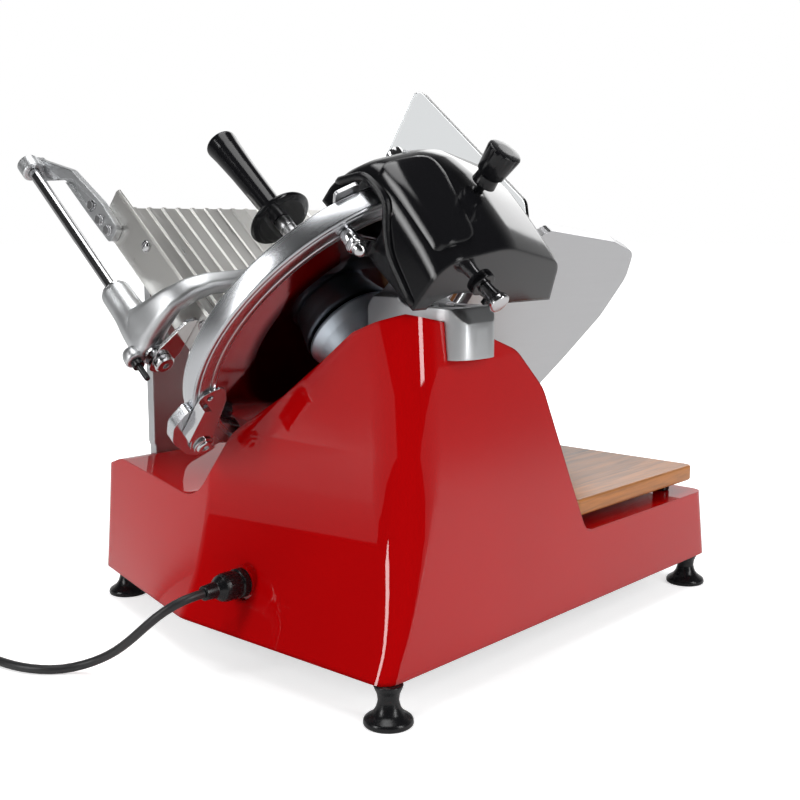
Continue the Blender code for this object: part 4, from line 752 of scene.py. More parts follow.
def make_gland():
    """The cord's gland: a nut with ribs, a lock ring and a tapered boot."""
    place = MACHINE @ moved(GLAND.x, GLAND.y, GLAND.z) @ TO_Y
    face = SEAT
    body = spun(soft_profile([
        (0, face - 0.009), (0.0077, face - 0.009), (0.0077, face), (0.0108, face),
        (0.0108, face + 0.0052), (0.0094, face + 0.0060), (0.0094, face + 0.0075),
        (0.0102, face + 0.0080), (0.0102, face + 0.0170), (0.0092, face + 0.0205),
        (0.0070, face + 0.0235), (0.0058, face + 0.0250), (0.0052, face + 0.0350),
        (0, face + 0.0350)], 0.0006, 3), 72)
    flats = []
    for number in range(6):
        turn = Matrix.Rotation(number * math.pi / 3, 4, "Z")
        flats.append(at(drawn(box_outline(0.0100, 0.0140, -0.009, 0.009), face + 0.0001,
                              face + 0.0051), turn))
    for number in range(18):
        turn = Matrix.Rotation(number * math.tau / 18, 4, "Z")
        flats.append(at(rod(0.0007, face + 0.0090, face + 0.0210, 8), turn @ moved(0.0104)))
    piece("gland", carved(body, less=flats), "grip", "base", place, ("cable_gland",))


# ---------------------------------------------------------------- casing

BASE_Z = 0.027
LEDGE_RIGHT = -0.003


def rear_wall(height):
    return 0.168 + 0.038 * math.exp(-(height - BASE_Z) / 0.060)


def casing_section(height, inset, steps):
    rise = height - BASE_Z
    left = -0.184 + rise * 0.082 + inset
    right = 0.182 - rise * 0.035 - inset
    front = -0.217 + rise * 0.035 + inset
    rear = rear_wall(height) - inset
    rear_right = 0.160 - rise * 0.035 - inset
    corner = 0.014 - inset
    fuller = corner + 0.018 * min(max((height - 0.045) / 0.090, 0), 1)
    return rounded([(left, front, corner), (right, front, corner),
                    (right, rear_right, corner), (0.020, rear, 0.042),
                    (left, rear, fuller)], steps)


def roof_outline(inset, steps):
    drop = 1.25 * inset
    line = [(-0.300, 0.240, 0), (-0.185, 0.248, 0.010), (-0.164, 0.2585, 0.012),
            (-0.140, 0.251, 0.020), (-0.121, 0.2436, 0.020), (-0.094, 0.223, 0.020),
            (-0.055, 0.195, 0.030), (-0.0016, 0.163, 0.040), (0.038, 0.108, 0.034),
            (0.152, 0.1226, 0.030), (0.172, 0.1155, 0.010), (0.190, 0.098, 0),
            (0.300, 0.098, 0)]
    lowered = [(x, z - drop, radius) for x, z, radius in line]
    return rounded(lowered + [(0.300, 0.400, 0), (-0.300, 0.400, 0)], steps)


def slope_outline(floor, inset, steps):
    drop = 1.1 * inset
    line = [(0.330, 0.264, 0), (0.169, 0.259, 0.050), (0.097, 0.243, 0.050),
            (0.051, 0.226, 0.030), (0.021, 0.196, 0.030), (-0.008, 0.125, 0.030),
            (-0.026, floor, 0.012), (-0.330, floor, 0)]
    lowered = [(y - 0.5 * inset, z - drop, radius) for y, z, radius in line]
    lowered[-2] = (line[-2][0] - inset, floor - inset, line[-2][2])
    lowered[-1] = (line[-1][0], floor - inset, 0)
    return rounded(lowered + [(-0.330, 0.400, 0), (0.330, 0.400, 0)], steps)


def casing_form(inset, steps, heights):
    body = skinned([[(x, y, height) for x, y in casing_section(height, inset, steps)]
                    for height in heights])
    return carved(body, less=[
        at(drawn(roof_outline(inset, steps), -0.300, 0.300), SIDEWAYS),
        at(drawn(slope_outline(0.082, inset, steps), -0.300, LEDGE_RIGHT + inset), TO_WALL),
        at(drawn(slope_outline(0.108, inset, steps), LEDGE_RIGHT - 0.010, LEDGE_RIGHT + 0.042),
           TO_WALL)])


def make_casing():
    fine = [BASE_Z, 0.0285, 0.032, 0.037, 0.043, 0.050, 0.058, 0.068, 0.080, 0.095, 0.113, 0.135,
            0.165, 0.205, 0.268]
    hollow = casing_form(0.004, 3, [BASE_Z - 0.001, 0.038, 0.054, 0.076, 0.110, 0.165, 0.268])
    unlean = MACHINE.inverted() @ LEAN
    feet = ((-0.1776, 0.1968), (0.1716, 0.1440), (-0.1716, -0.2009), (0.1716, -0.2009))
    bosses = [at(rod(0.038, -0.060, -0.020, 48), unlean),
              at(rod(0.015, -0.055, 0.004, 32), unlean @ moved(*BAR_PLACE)),
              at(rod(0.016, 0.143, 0.175, 24), moved(*GUIDE_PLACE) @ TO_Y),
              at(rod(0.016, -0.225, -0.200, 24), moved(*GUIDE_PLACE) @ TO_Y)]
    for x, y in feet:
        inner = (x - math.copysign(0.011, x), y - math.copysign(0.011, y))
        outer = (math.copysign(0.2076, x), math.copysign(0.2308, y))
        bosses.append(drawn(rounded([(*inner, 0.006), (outer[0], inner[1], 0), (*outer, 0),
                                     (inner[0], outer[1], 0)], 4), BASE_Z - 0.005,
                            BASE_Z + 0.030))
    hollow = carved(hollow, less=bosses)
    body = casing_form(0.0, 8, fine)
    slot = drawn(box_outline(0.1545, 0.1655, -0.1145, 0.1435, 0.0045), 0.095, 0.140)
    less = [
        hollow,
        at(rod(0.0308, -0.048, 0.02, 96), unlean),
        at(rod(0.0283, -0.090, 0.0, 64), unlean),
        at(rod(0.0093, -0.075, 0.02, 48), unlean @ moved(*BAR_PLACE)),
        slot,
        at(rod(0.0063, -0.240, -0.190, 32), moved(*DIAL_PLACE) @ TO_Y),
        at(rod(0.0110, -0.240, -0.190, 48), moved(0.114, 0, 0.070) @ TO_Y),
        at(rod(0.0110, -0.240, -0.190, 48), moved(0.142, 0, 0.070) @ TO_Y),
        at(rod(0.0093, -0.211, 0.152, 32), moved(*GUIDE_PLACE) @ TO_Y),
        at(rod(0.0033, 0.225, 0.270, 24), moved(*SUPPORT_BOLT)),
    ] + [at(rod(0.0033, BASE_Z - 0.010, BASE_Z + (0.0035 if (x, y) == feet[0] else 0.020), 24),
            moved(x, y)) for x, y in feet]
    body = carved(body, less=less)
    body = carved(body, plus=[at(rod(0.0122, 0.176, GLAND.y + 0.001, 64),
                                 moved(GLAND.x, 0, GLAND.z) @ TO_Y)],
                  less=[at(rod(0.0127, GLAND.y, 0.230, 64), moved(GLAND.x, 0, GLAND.z) @ TO_Y),
                        at(rod(0.0080, 0.150, 0.230, 48), moved(GLAND.x, 0, GLAND.z) @ TO_Y)])
    piece("enamelled_casing", body, "enamel", "base", MACHINE, ("base_casing",),
          sharp=38)
    dress("satin", "bottom_cover")


def make_feet():
    for name in ("foot_rear_left", "foot_rear_right", "foot_front_left", "foot_front_right"):
        low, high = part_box(name)
        centre = (Vector(low) + Vector(high)) / 2
        top = BASE_Z - SEAT
        tip = high[2]
        profile = soft_profile([
            (0, 0), (0.0155, 0), (0.0163, 0.0012), (0.0160, 0.0040), (0.0138, 0.0056),
            (0.0105, 0.0078), (0.0082, 0.0110), (0.0068, 0.0160), (0.0074, 0.0205),
            (0.0090, 0.0240), (0.0100, top), (0.003, top), (0.003, tip), (0, tip)], 0.0014, 4)
        piece("rubber_" + name, spun(profile, 72), "rubber", "base",
              moved(centre.x, centre.y, 0), (name,), sharp=50)


def make_board():
    low, high = (Vector(corner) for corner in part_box("cutting_board"))
    plank = drawn(box_outline(low.x, high.x, low.y, high.y, 0.008, 8), high.z - 0.0135, high.z)
    rims = [edge for edge in plank.edges if abs(edge.verts[0].co.z - edge.verts[1].co.z) < 1e-5]
    bmesh.ops.bevel(plank, geom=rims, offset=0.0022, segments=4, profile=0.5, affect="EDGES",
                    material=-1)
    piece("board_plank", plank, "wood", "board", None, ("cutting_board",), sharp=50)
    for x in (-0.151, -0.033):
        for y in (-0.049, -0.190):
            pad = spun(soft_profile([(0, 0.0823), (0.0065, 0.0823), (0.0070, 0.0830),
                                     (0.0070, 0.0912), (0, 0.0912)], 0.0005), 40)
            piece("board_pad_%d_%d" % (round(x * -1000), round(y * -1000)), pad, "rubber", "board",
                  MACHINE @ moved(x, y), ())


# ---------------------------------------------------------------- blade and guard

def make_blade():
    dish = -0.009
    front = -0.006
    blade = spun(soft_profile([
        (0.020, front), (0.020, dish), (0.0820, dish), (0.0900, -0.0070), (0.1090, -0.0026),
        (0.1135, -0.0034), (0.1250, -0.0002), (0.1250, 0.0001), (0.1200, 0.0003),
        (0.1090, -0.0004), (0.0850, front), (0.0200, front)], 0.0006), 192)
    piece("ground_blade", blade, "blade", "blade_set", LEAN, ("blade",), sharp=20)
    back = -0.009 - SEAT - 0.025
    hub = spun(soft_profile([
        (0.0103, back), (0.0282, back), (0.0288, back + 0.0006), (0.0300, -0.0270),
        (0.0322, -0.0190), (0.0356, -0.0122), (0.0356, -0.0103),
        (0.0346, -0.0093), (0.0197, -0.0093), (0.0197, -0.0066), (0.0103, -0.0066),
        (0.0103, back)], 0.0003, 2), 128)
    for number in range(3):
        angle = math.radians(30 + 120 * number)
        head = spun(soft_profile([(0, -0.0066), (0.0046, -0.0066), (0.0050, -0.0072),
                                  (0.0028, -0.0088), (0, -0.0088)], 0.0002), 32)
        piece("blade_screw_%d" % number, head, "steel", "blade_set",
              LEAN @ moved(0.0275 * math.cos(angle), 0.0275 * math.sin(angle), 0.0009), ())
    piece("turned_hub", hub, "hub", "blade_set", LEAN, ("blade_hub",), sharp=28)
    top = -0.0363
    housing = spun(soft_profile([
        (0.0108, top), (0.0296, top), (0.0305, top - 0.0009), (0.0305, -0.0477),
        (0.0280, -0.0477), (0.0280, -0.0760), (0.0200, -0.0760), (0.0200, -0.0458),
        (0.0108, -0.0458), (0.0108, top)], 0.0004), 128)
    piece("housing_flange", housing, "hub", "base", LEAN, ("bearing_housing",),
          sharp=28)
    cover = spun(soft_profile([
        (0, -0.0035), (0.0800, -0.0032), (0.0990, 0.0012), (0.1040, 0.0014), (0.1040, 0.0026),
        (0.0985, 0.0026), (0.0800, -0.0010), (0.0300, -0.0012), (0.0290, -0.0016),
        (0.0280, -0.0012), (0, -0.0013)], 0.0006), 160)
    angle = math.radians(58)
    lug = at(drawn(box_outline(0.0985, 0.1375, -0.009, 0.009, 0.003), 0.0023, 0.0050),
             Matrix.Rotation(angle, 4, "Z"))
    piece("blade_front_cover", carved(cover, plus=[lug]), "satin", "base", LEAN, ("blade_cover",),
          sharp=28)
    screw = spun(soft_profile([(0, 0.0051), (0.0042, 0.0051), (0.0040, 0.0066), (0, 0.0074)],
                              0.0004), 40)
    piece("cover_lug_screw", screw, "steel", "base",
          LEAN @ moved(0.126 * math.cos(angle), 0.126 * math.sin(angle)), ())
    dress("steel", "blade_shaft", "blade_bearing_front", "blade_bearing_rear", "motor_shaft",
          "motor_pulley", "guide_rod", "gauge_cam")
    dress("cast", "blade_pulley", "motor", "motor_cradle", "slide_block", "sharpener_body")
    dress("rubber", "drive_belt")


def make_ring():
    """The C-shaped guard round the blade, with its grooved rim and its lower lug."""
    back = RING_BACK
    ring = spun(soft_profile([
        (0.1153, back + 0.0027), (0.1153, back), (0.1188, back), (0.1191, back + 0.0004),
        (0.1197, back + 0.0004), (0.1200, back), (0.1278, back), (0.1281, back + 0.0005),
        (0.1288, back + 0.0005), (0.1291, back), (0.1309, back), (0.1320, back + 0.0012),
        (0.1320, 0.0010), (0.1312, 0.0020), (0.1293, 0.0020), (0.1293, back + 0.0027),
        (0.1153, back + 0.0027)], 0.0003, 2), 150, start=math.radians(-52),
        sweep=math.radians(170))
    flare = rounded([(0.0905, -0.0800, 0), (0.1180, -0.0640, 0.004), (0.1235, -0.0820, 0.012),
                     (0.1165, -0.0990, 0.020), (0.0960, -0.1150, 0.010), (0.0860, -0.1185, 0.004),
                     (0.0700, -0.1080, 0.003), (0.0520, -0.1110, 0.005), (0.0560, -0.0930, 0.005)])
    lug = drawn(flare, back + 0.0002, -0.0055)
    holes = [at(rod(0.0032, -0.03, 0.02, 32), moved(*LUG_PLACE)),
             at(rod(0.0032, -0.03, 0.02, 32), moved(0.0560, -0.1030)),
             at(rod(0.0032, -0.03, 0.004, 32), moved(*TIE_PLACE)),
             drawn(box_outline(-0.0055, 0.0235, 0.0955, 0.1420, 0.006), back - 0.005,
                   back + 0.0065)]
    piece("guard_ring", carved(ring, plus=[lug], less=holes), "ring", "base", LEAN,
          ("ring_guard",), sharp=28)
    make_ring_fixings()


def make_ring_fixings():
    back = RING_BACK
    bolt = carved(spun(soft_profile([
        (0, -0.0200), (0.0050, -0.0200), (0.0060, -0.0190), (0.0060, -0.0180), (0.0076, -0.0178),
        (0.0076, -0.0163), (0.0028, -0.0163), (0.0028, -0.0049), (0, -0.0049)], 0.0003), 48),
        less=[hexagon(0.0050, -0.024, -0.0185)])
    piece("lug_bolt", bolt, "steel", "base", LEAN @ moved(*LUG_PLACE), ("ring_bolt",))
    bar_low = back - 0.0118
    tie = spun(soft_profile([
        (0, bar_low - 0.0092), (0.0018, bar_low - 0.0090), (0.0032, bar_low - 0.0078),
        (0.0042, bar_low - 0.0058), (0.0046, bar_low - 0.0050), (0.0046, bar_low - 0.0022),
        (0.0060, bar_low - 0.0018), (0.0060, bar_low - SEAT), (0.0028, bar_low - SEAT),
        (0.0028, bar_low + 0.0033), (0.0055, bar_low + 0.0033), (0.0055, back - 0.0020),
        (0.0048, back - 0.0016), (0.0048, back - SEAT), (0.0029, back - SEAT),
        (0.0029, back + 0.0026), (0, back + 0.0026)], 0.0003), 48)
    piece("tie_post_nut", tie, "steel", "base", LEAN @ moved(*TIE_PLACE),
          ("ring_tie_post",))
    bar = carved(drawn(rounded([
        (-0.0150, 0.0800, 0.002), (0.0280, 0.0800, 0.006), (0.0770, 0.0880, 0.0065),
        (0.0785, 0.1010, 0.0065), (0.0290, 0.0930, 0.006), (-0.0150, 0.0930, 0.002)]),
        bar_low, bar_low + 0.0030), less=[
            at(rod(0.0031, bar_low - 0.01, bar_low + 0.02, 32), moved(*TIE_PLACE))])
    piece("tie_bar_plate", bar, "steel", "base", LEAN, ("ring_tie_bar",),
          edge=0.0005)
    dress("steel", "ring_post", "ring_bracket")


def make_support():
    """The grey casting that carries the sharpener, with its recess and cap screw."""
    unlean = MACHINE.inverted() @ LEAN
    pad_top = 0.2590
    bolt_x, bolt_y = SUPPORT_BOLT

    def corner(v, s, radius):
        spot = unlean @ Vector((0, v, s))
        return spot.x, spot.z, radius

    side = rounded([
        (-0.1790, 0.2250, 0), (-0.1640, 0.2250, 0), (-0.1330, 0.2300, 0), (-0.1020, 0.2200, 0),
        (-0.0985, 0.2450, 0.010), corner(0.040, -0.0261, 0.010), corner(0.095, -0.0261, 0.002),
        corner(0.095, -0.0421, 0.002), corner(0.062, -0.0421, 0.016), (-0.1340, pad_top, 0.012),
        (-0.1690, pad_top, 0.004), (-0.1790, 0.2470, 0.008)], 8)
    plan = rounded([(-0.1790, 0.081, 0.020), (0.0, 0.081, 0), (0.0, 0.130, 0),
                    (-0.1790, 0.130, 0.020)], 10)
    fine = [BASE_Z, 0.050, 0.095, 0.150, 0.205, 0.268]
    shoulders = [at(drawn(rounded([
        (bolt_y + way * 0.016, 0.400, 0), (bolt_y + way * 0.016, 0.2660, 0.010),
        (bolt_y + way * 0.040, 0.2620, 0), (bolt_y + way * 0.040, 0.400, 0)], 8), -0.300, 0.0),
        TO_WALL) for way in (-1, 1)]
    recess = drawn([(bolt_x + 0.0135 * math.cos(k * math.tau / 48),
                     bolt_y + 0.0115 * math.sin(k * math.tau / 48)) for k in range(48)],
                   pad_top - 0.0045, 0.290)
    post = at(rod(0.0045, 0.080, 0.128, 48), unlean @ moved(0, 0, POST_S) @ TO_Y)
    casting = carved(at(drawn(side, 0.081, 0.130), SIDEWAYS), keep=[drawn(plan, 0.200, 0.360)],
                     less=[casing_form(-SEAT, 8, fine), recess] + shoulders + [
                         at(rod(0.0325, -0.100, -0.020, 64), unlean),
                         at(rod(0.0033, 0.200, 0.290, 24), moved(bolt_x, bolt_y))])
    casting = carved(casting, plus=[post])
    piece("support_casting", casting, "cast", "base", MACHINE, ("sharpener_support",),
          sharp=40)
    seat = pad_top - 0.0045 + SEAT
    bolt = carved(spun(soft_profile([
        (0, 0.2280), (0.003, 0.2280), (0.003, seat), (0.0086, seat), (0.0088, seat + 0.0014),
        (0.0040, seat + 0.0016), (0.0040, seat + 0.0050), (0, seat + 0.0050)], 0.0003), 48),
        plus=[hexagon(0.0100, seat + 0.0010, seat + 0.0062)])
    piece("support_screw", bolt, "steel", "base", MACHINE @ moved(bolt_x, bolt_y),
          ("support_bolt",), sharp=28)


# ---------------------------------------------------------------- carriage

def make_carriage():
    """Table, leg, clear guard and the rod's bracket."""
    dress("table", "product_table")
    dress("cast", "carriage_leg")
    dress("steel", "rod_clamp", "press_bush", "press_plate")
    guard = drawn(rounded([
        (-0.1200, 0.050, 0.004), (0.0480, 0.050, 0.010), (0.0600, 0.064, 0.012),
        (0.0580, 0.228, 0.012), (-0.0300, 0.2150, 0.040), (-0.1200, 0.2000, 0.004)], 10),
        -0.2393, -0.2343)
    piece("hand_guard", guard, "clear", "carriage", LEAN @ TO_WALL, ("clear_guard",),
          edge=0.0008)
    rail = carved(spun(soft_profile([
        (0, 0.0965), (0.0070, 0.0968), (0.0085, 0.0985), (0.0085, 0.1027), (0.0050, 0.1027),
        (0.0050, 0.3550), (0.0040, 0.3560), (0, 0.3560)], 0.0004), 56),
        less=[hexagon(0.0050, 0.0900, 0.0995)])
    piece("polished_press_rod", rail, "steel", "carriage", LEAN @ moved(*ROD_PLACE),
          ("press_rod",))
    wall = 0.0193
    plate = at(drawn(rounded([
        (-0.1100, 0.2230, 0.006), (-0.1265, 0.2230, 0.006), (-0.1280, 0.2620, 0.012),
        (-0.1285, 0.3090, 0.010), (-0.1530, 0.3370, 0.004), (-0.1530, 0.3520, 0.002),
        (-0.1400, 0.3520, 0.006), (-0.1150, 0.3060, 0.016), (-0.1080, 0.2540, 0.012)], 6),
        wall, wall + 0.0060), TO_WALL)
    groove = at(drawn(rounded([
        (-0.1130, 0.2560, 0.004), (-0.1240, 0.2600, 0.004), (-0.1250, 0.3000, 0.006),
        (-0.1400, 0.3240, 0.003), (-0.1190, 0.2980, 0.006)], 6), wall + 0.0040, wall + 0.0100),
        TO_WALL)
    bracket = carved(plate, plus=[
        at(rod(0.0098, 0.3380, 0.3520, 48, 0.0012), moved(*ROD_PLACE)),
        drawn(box_outline(wall + 0.001, 0.034, -0.1525, -0.1375), 0.3392, 0.3508)],
        less=[groove, at(rod(0.0053, 0.300, 0.400, 48), moved(*ROD_PLACE))])
    piece("cast_rod_bracket", bracket, "cast", "carriage", LEAN, ("rod_bracket",),
          sharp=35)
    for number, (v, s) in enumerate(((-0.1191, 0.2644), (-0.1198, 0.2460), (-0.1187, 0.2317))):
        low = wall + (0.0041 if number == 0 else 0.0061)
        screw = carved(spun(soft_profile([(0, low), (0.0046, low), (0.0046, low + 0.0008),
                                          (0, low + 0.0008)], 0.0002), 32),
                       plus=[hexagon(0.0074, low + 0.0004, low + 0.0032)])
        piece("bracket_screw_%d" % number, screw, "steel", "carriage",
              LEAN @ moved(0, v, s) @ TO_X, ())
    for number, (v, s) in enumerate(((-0.1000, 0.095), (-0.1000, 0.190))):
        screw = carved(spun(soft_profile([
            (0, 0.0193), (0.0052, 0.0193), (0.0050, 0.0210), (0.0030, 0.0224), (0, 0.0228)],
            0.0004), 40), less=[drawn(box_outline(-0.0006, 0.0006, -0.006, 0.006), 0.0214,
                                      0.0300)])
        piece("table_screw_%d" % number, screw, "steel", "carriage",
              LEAN @ moved(0, v, s) @ TO_X, ())


def make_press():
    """Sleeve and arm, stem, guarded grip and the pin below."""
    low = 0.112
    top = low + 0.022
    arm = lofted([
        ((0.0350, -0.1500), (0.0, 1.0), 0.0145, low, 0.1400),
        ((0.0405, -0.1290), (0.0, 1.0), 0.0102, low, 0.1480),
        ((0.0400, -0.1130), (-0.1, 1.0), 0.0095, low, 0.1400),
        ((0.0370, -0.0960), (-0.5, 1.0), 0.0078, low, 0.1330),
        ((0.0240, -0.0840), (-1.0, 0.7), 0.0085, low, 0.1300),
        ((0.0100, -0.0775), (-1.0, 0.2), 0.0070, low, 0.1285),
        ((-0.0200, -0.0750), (-1.0, 0.0), 0.0074, low, 0.1275),
        ((-0.0550, -0.0735), (-1.0, 0.05), 0.0082, low, 0.1280),
        ((-0.0850, -0.0705), (-1.0, 0.15), 0.0105, low, 0.1300),
        ((-0.1060, -0.0670), (-1.0, 0.15), 0.0125, low, 0.1320),
        ((-0.1190, -0.0660), (-1.0, 0.0), 0.0090, low, 0.1300)])
    boss = at(spun(soft_profile([(0, low + 0.001), (0.0125, low + 0.001), (0.0118, 0.1310),
                                 (0.0108, top), (0, top)], 0.0015, 4), 64),
              moved(*STEM_PLACE))
    sleeve = at(spun(soft_profile([
        (0, low), (0.0158, low), (0.0168, low + 0.014), (0.0160, low + 0.030),
        (0.0136, 0.1580), (0.0130, 0.1820), (0.0121, 0.1850), (0, 0.1850)], 0.0060, 6), 96),
        moved(*ROD_PLACE))
    lug = at(spun(soft_profile([(0, low), (0.0086, low), (0.0080, low + 0.008),
                                (0.0056, low + 0.013), (0, low + 0.014)], 0.0030, 4), 48),
             moved(*PIN_PLACE))
    arm = carved(arm, plus=[sleeve, boss, lug], less=[at(rod(0.0098, 0.090, 0.200, 48),
                                                         moved(*ROD_PLACE))])
    piece("cast_press_arm", arm, "cast", "press", LEAN, ("press_arm",),
          sharp=40)
    stem = spun(soft_profile([
        (0, top + SEAT), (0.0100, top + SEAT), (0.0100, top + 0.0030), (0.0075, top + 0.0070),
        (0.0075, 0.1700), (0.0070, 0.1705), (0.0070, 0.1712), (0.0075, 0.1717),
        (0.0075, 0.1817), (0.0040, 0.1817), (0.0040, 0.2310), (0, 0.2310)], 0.0004), 72)
    piece("polished_stem", stem, "satin", "press", LEAN @ moved(*STEM_PLACE), ("press_stem",))
    disc = 0.182
    grip = spun(soft_profile([
        (0.0043, disc), (0.0235, disc), (0.0285, disc + 0.0010), (0.0300, disc + 0.0030),
        (0.0292, disc + 0.0048), (0.0240, disc + 0.0056), (0.0140, disc + 0.0072),
        (0.0112, disc + 0.0110), (0.0108, disc + 0.0180), (0.0113, 0.2210), (0.0122, 0.2500),
        (0.0138, 0.2760), (0.0150, 0.2870), (0.0146, 0.2892), (0.0135, 0.2900), (0.0050, 0.2900),
        (0.0046, 0.2894), (0, 0.2894), (0, 0.2313), (0.0043, 0.2313), (0.0043, disc)], 0.0012, 4),
        96)
    piece("guarded_grip", grip, "plastic", "press", LEAN @ moved(*STEM_PLACE),
          ("press_handle",), sharp=50)
    pin = spun(soft_profile([
        (0, low - 0.0200), (0.0018, low - 0.0200), (0.0024, low - 0.0190),
        (0.0025, low - 0.0056), (0.0050, low - 0.0054), (0.0050, low - SEAT), (0, low - SEAT)],
        0.0003), 32)
    piece("stop_pin", pin, "rubber", "press", LEAN @ moved(*PIN_PLACE),
          ("press_stop_pin",))


# ---------------------------------------------------------------- sharpener

COVER_SECTIONS = (
    (-0.0800, 0.1250, 0.1395, 0.1280), (-0.0740, 0.1270, 0.1425, 0.1300),
    (-0.0600, 0.1300, 0.1455, 0.1320), (-0.0400, 0.1330, 0.1490, 0.1340),
    (-0.0200, 0.1350, 0.1520, 0.1350), (-0.0020, 0.1350, 0.1510, 0.1350),
    (0.0100, 0.1330, 0.1475, 0.1310), (0.0170, 0.1290, 0.1420, 0.1250),
    (0.0215, 0.1230, 0.1350, 0.1170), (0.0250, 0.1130, 0.1250, 0.1060),
)


def cover_form(inset):
    """The cover's dome, drawn in by the inset."""
    rings = []
    last = len(COVER_SECTIONS) - 1
    low = 0.088 - (0.020 if inset > 0 else 0)
    for number, (s, front, top, rear) in enumerate(COVER_SECTIONS):
        s += inset * ((number == 0) - (number == last))
        outline = rounded([
            (-0.0900 + inset, low, 0), (0.0600 - inset, low, 0),
            (0.0600 - inset, rear - inset, 0.024), (0.0050, top - inset, 0.060),
            (-0.0660 + inset, front - inset, 0.026)], 14)
        rings.append([(u, v, s) for u, v in outline])
    return skinned(rings)


def tube(points, radius, steps=12):
    """A round bar with rounded ends through the given points."""
    rings = []
    for number, here in enumerate(points):
        before = points[max(number - 1, 0)]
        after = points[min(number + 1, len(points) - 1)]
        along = (after - before).normalized()
        side = along.cross(Vector((1, 0, 0))).normalized()
        up = along.cross(side)
        wide = radius * (0.55 if number in (0, len(points) - 1) else 1.0)
        rings.append([here + side * (wide * math.cos(step * math.tau / steps))
                      + up * (wide * math.sin(step * math.tau / steps))
                      for step in range(steps)])
    return skinned(rings)


def make_sharpener():
    near = COVER_NEAR
    arch = rounded([(-0.0120, 0.0700, 0), (-0.0120, 0.0930, 0.004), (0.0080, 0.1010, 0.008),
                    (0.0300, 0.1010, 0.010), (0.0460, 0.0930, 0.006), (0.0500, 0.0700, 0)])
    cover = carved(cover_form(0.0), less=[
        cover_form(0.003), drawn(arch, near - 0.010, near + 0.010),
        at(drawn(box_outline(0.0400, 0.0800, -0.0280, 0.0080), 0.0700, 0.1225),
           SIDEWAYS),
        at(drawn(box_outline(-0.1000, -0.0700, -0.0125, 0.0035), 0.0700, 0.1060),
           SIDEWAYS),
        at(rod(0.0050, near - 0.010, near + 0.010, 40), moved(*GRIND_PLACE)),
        at(rod(0.0043, 0.015, 0.035, 40), moved(*DEBUR_PLACE)),
        at(rod(0.0033, 0.100, 0.200, 32), moved(0, 0, POST_S) @ TO_Y)])
    piece("gloss_cover", cover, "panel", "sharpener", LEAN, ("sharpener_cover",),
          sharp=38)
    panel = carved(cover_form(-0.0026), keep=[at(drawn(rounded([
        (0.0300, -0.0700, 0.010), (0.0565, -0.0700, 0.006), (0.0565, 0.0030, 0.006),
        (0.0180, 0.0030, 0.014)], 8), 0.1000, 0.1700), SIDEWAYS)], less=[cover_form(0.0015)])
    piece("cover_panel", panel, "panel", "sharpener", LEAN, (), sharp=50)
    lip = tube(smooth_route([Vector(point) for point in (
        (0.0592, 0.0905, -0.0780), (0.0600, 0.0950, -0.0640), (0.0604, 0.1020, -0.0440),
        (0.0604, 0.1130, -0.0300), (0.0604, 0.1240, -0.0200), (0.0604, 0.1262, -0.0080),
        (0.0604, 0.1240, 0.0060), (0.0604, 0.1150, 0.0150), (0.0598, 0.1060, 0.0225))], 40),
               0.0030)
    piece("cover_lip", lip, "panel", "sharpener", LEAN, (), sharp=60)
    flutes = []
    for number in range(12):
        turn = Matrix.Rotation(number * math.tau / 12, 4, "Z")
        flutes.append(at(rod(0.0019, 0.1715, 0.1900, 14), turn @ moved(0.0130)))
    knob = carved(spun(soft_profile([
        (0, 0.1288), (0.0030, 0.1288), (0.0030, 0.1535), (0.0085, 0.1535), (0.0078, 0.1610),
        (0.0096, 0.1622), (0.0120, 0.1790), (0.0112, 0.1808), (0.0060, 0.1812), (0, 0.1812)],
        0.0007), 96), less=flutes)
    piece("fluted_knob", knob, "plastic", "clamp_knob", LEAN @ moved(0, 0, POST_S) @ TO_Y,
          ("sharpener_knob",), sharp=35)
    tip = near - 0.0215
    push = spun(soft_profile([
        (0, tip), (0.0062, tip), (0.0074, tip + 0.0010), (0.0072, tip + 0.0044),
        (0.0058, tip + 0.0060), (0.0048, tip + 0.0110), (0.0045, tip + 0.0150),
        (0.0045, tip + 0.0178), (0.0040, tip + 0.0186), (0.0040, -0.0170), (0.0025, -0.0170),
        (0.0025, -0.0105), (0, -0.0105)], 0.0005), 56)
    piece("grind_push_button", push, "steel", "grinder", LEAN @ moved(*GRIND_PLACE),
          ("grind_button",))
    bush = spun([(0.0049, near - 0.0035), (0.0085, near - 0.0035), (0.0092, near - 0.0028),
                 (0.0092, near - 0.0002), (0.0049, near - 0.0002), (0.0049, near - 0.0035)], 56)
    piece("button_bush", bush, "plastic", "sharpener", LEAN @ moved(*GRIND_PLACE), ())
    far = 0.025 + 0.0180
    push = spun(soft_profile([
        (0, far), (0.0058, far), (0.0068, far - 0.0010), (0.0065, far - 0.0040),
        (0.0048, far - 0.0110), (0.0045, far - 0.0130), (0.0040, far - 0.0140),
        (0.0040, 0.0107), (0.0025, 0.0107), (0.0025, 0.0055), (0, 0.0055)], 0.0005), 56)
    piece("debur_push_button", push, "steel", "deburrer", LEAN @ moved(*DEBUR_PLACE),
          ("debur_button",))
    dress("stone", "grind_stone", "debur_stone")


# ---------------------------------------------------------------- gauge and switch

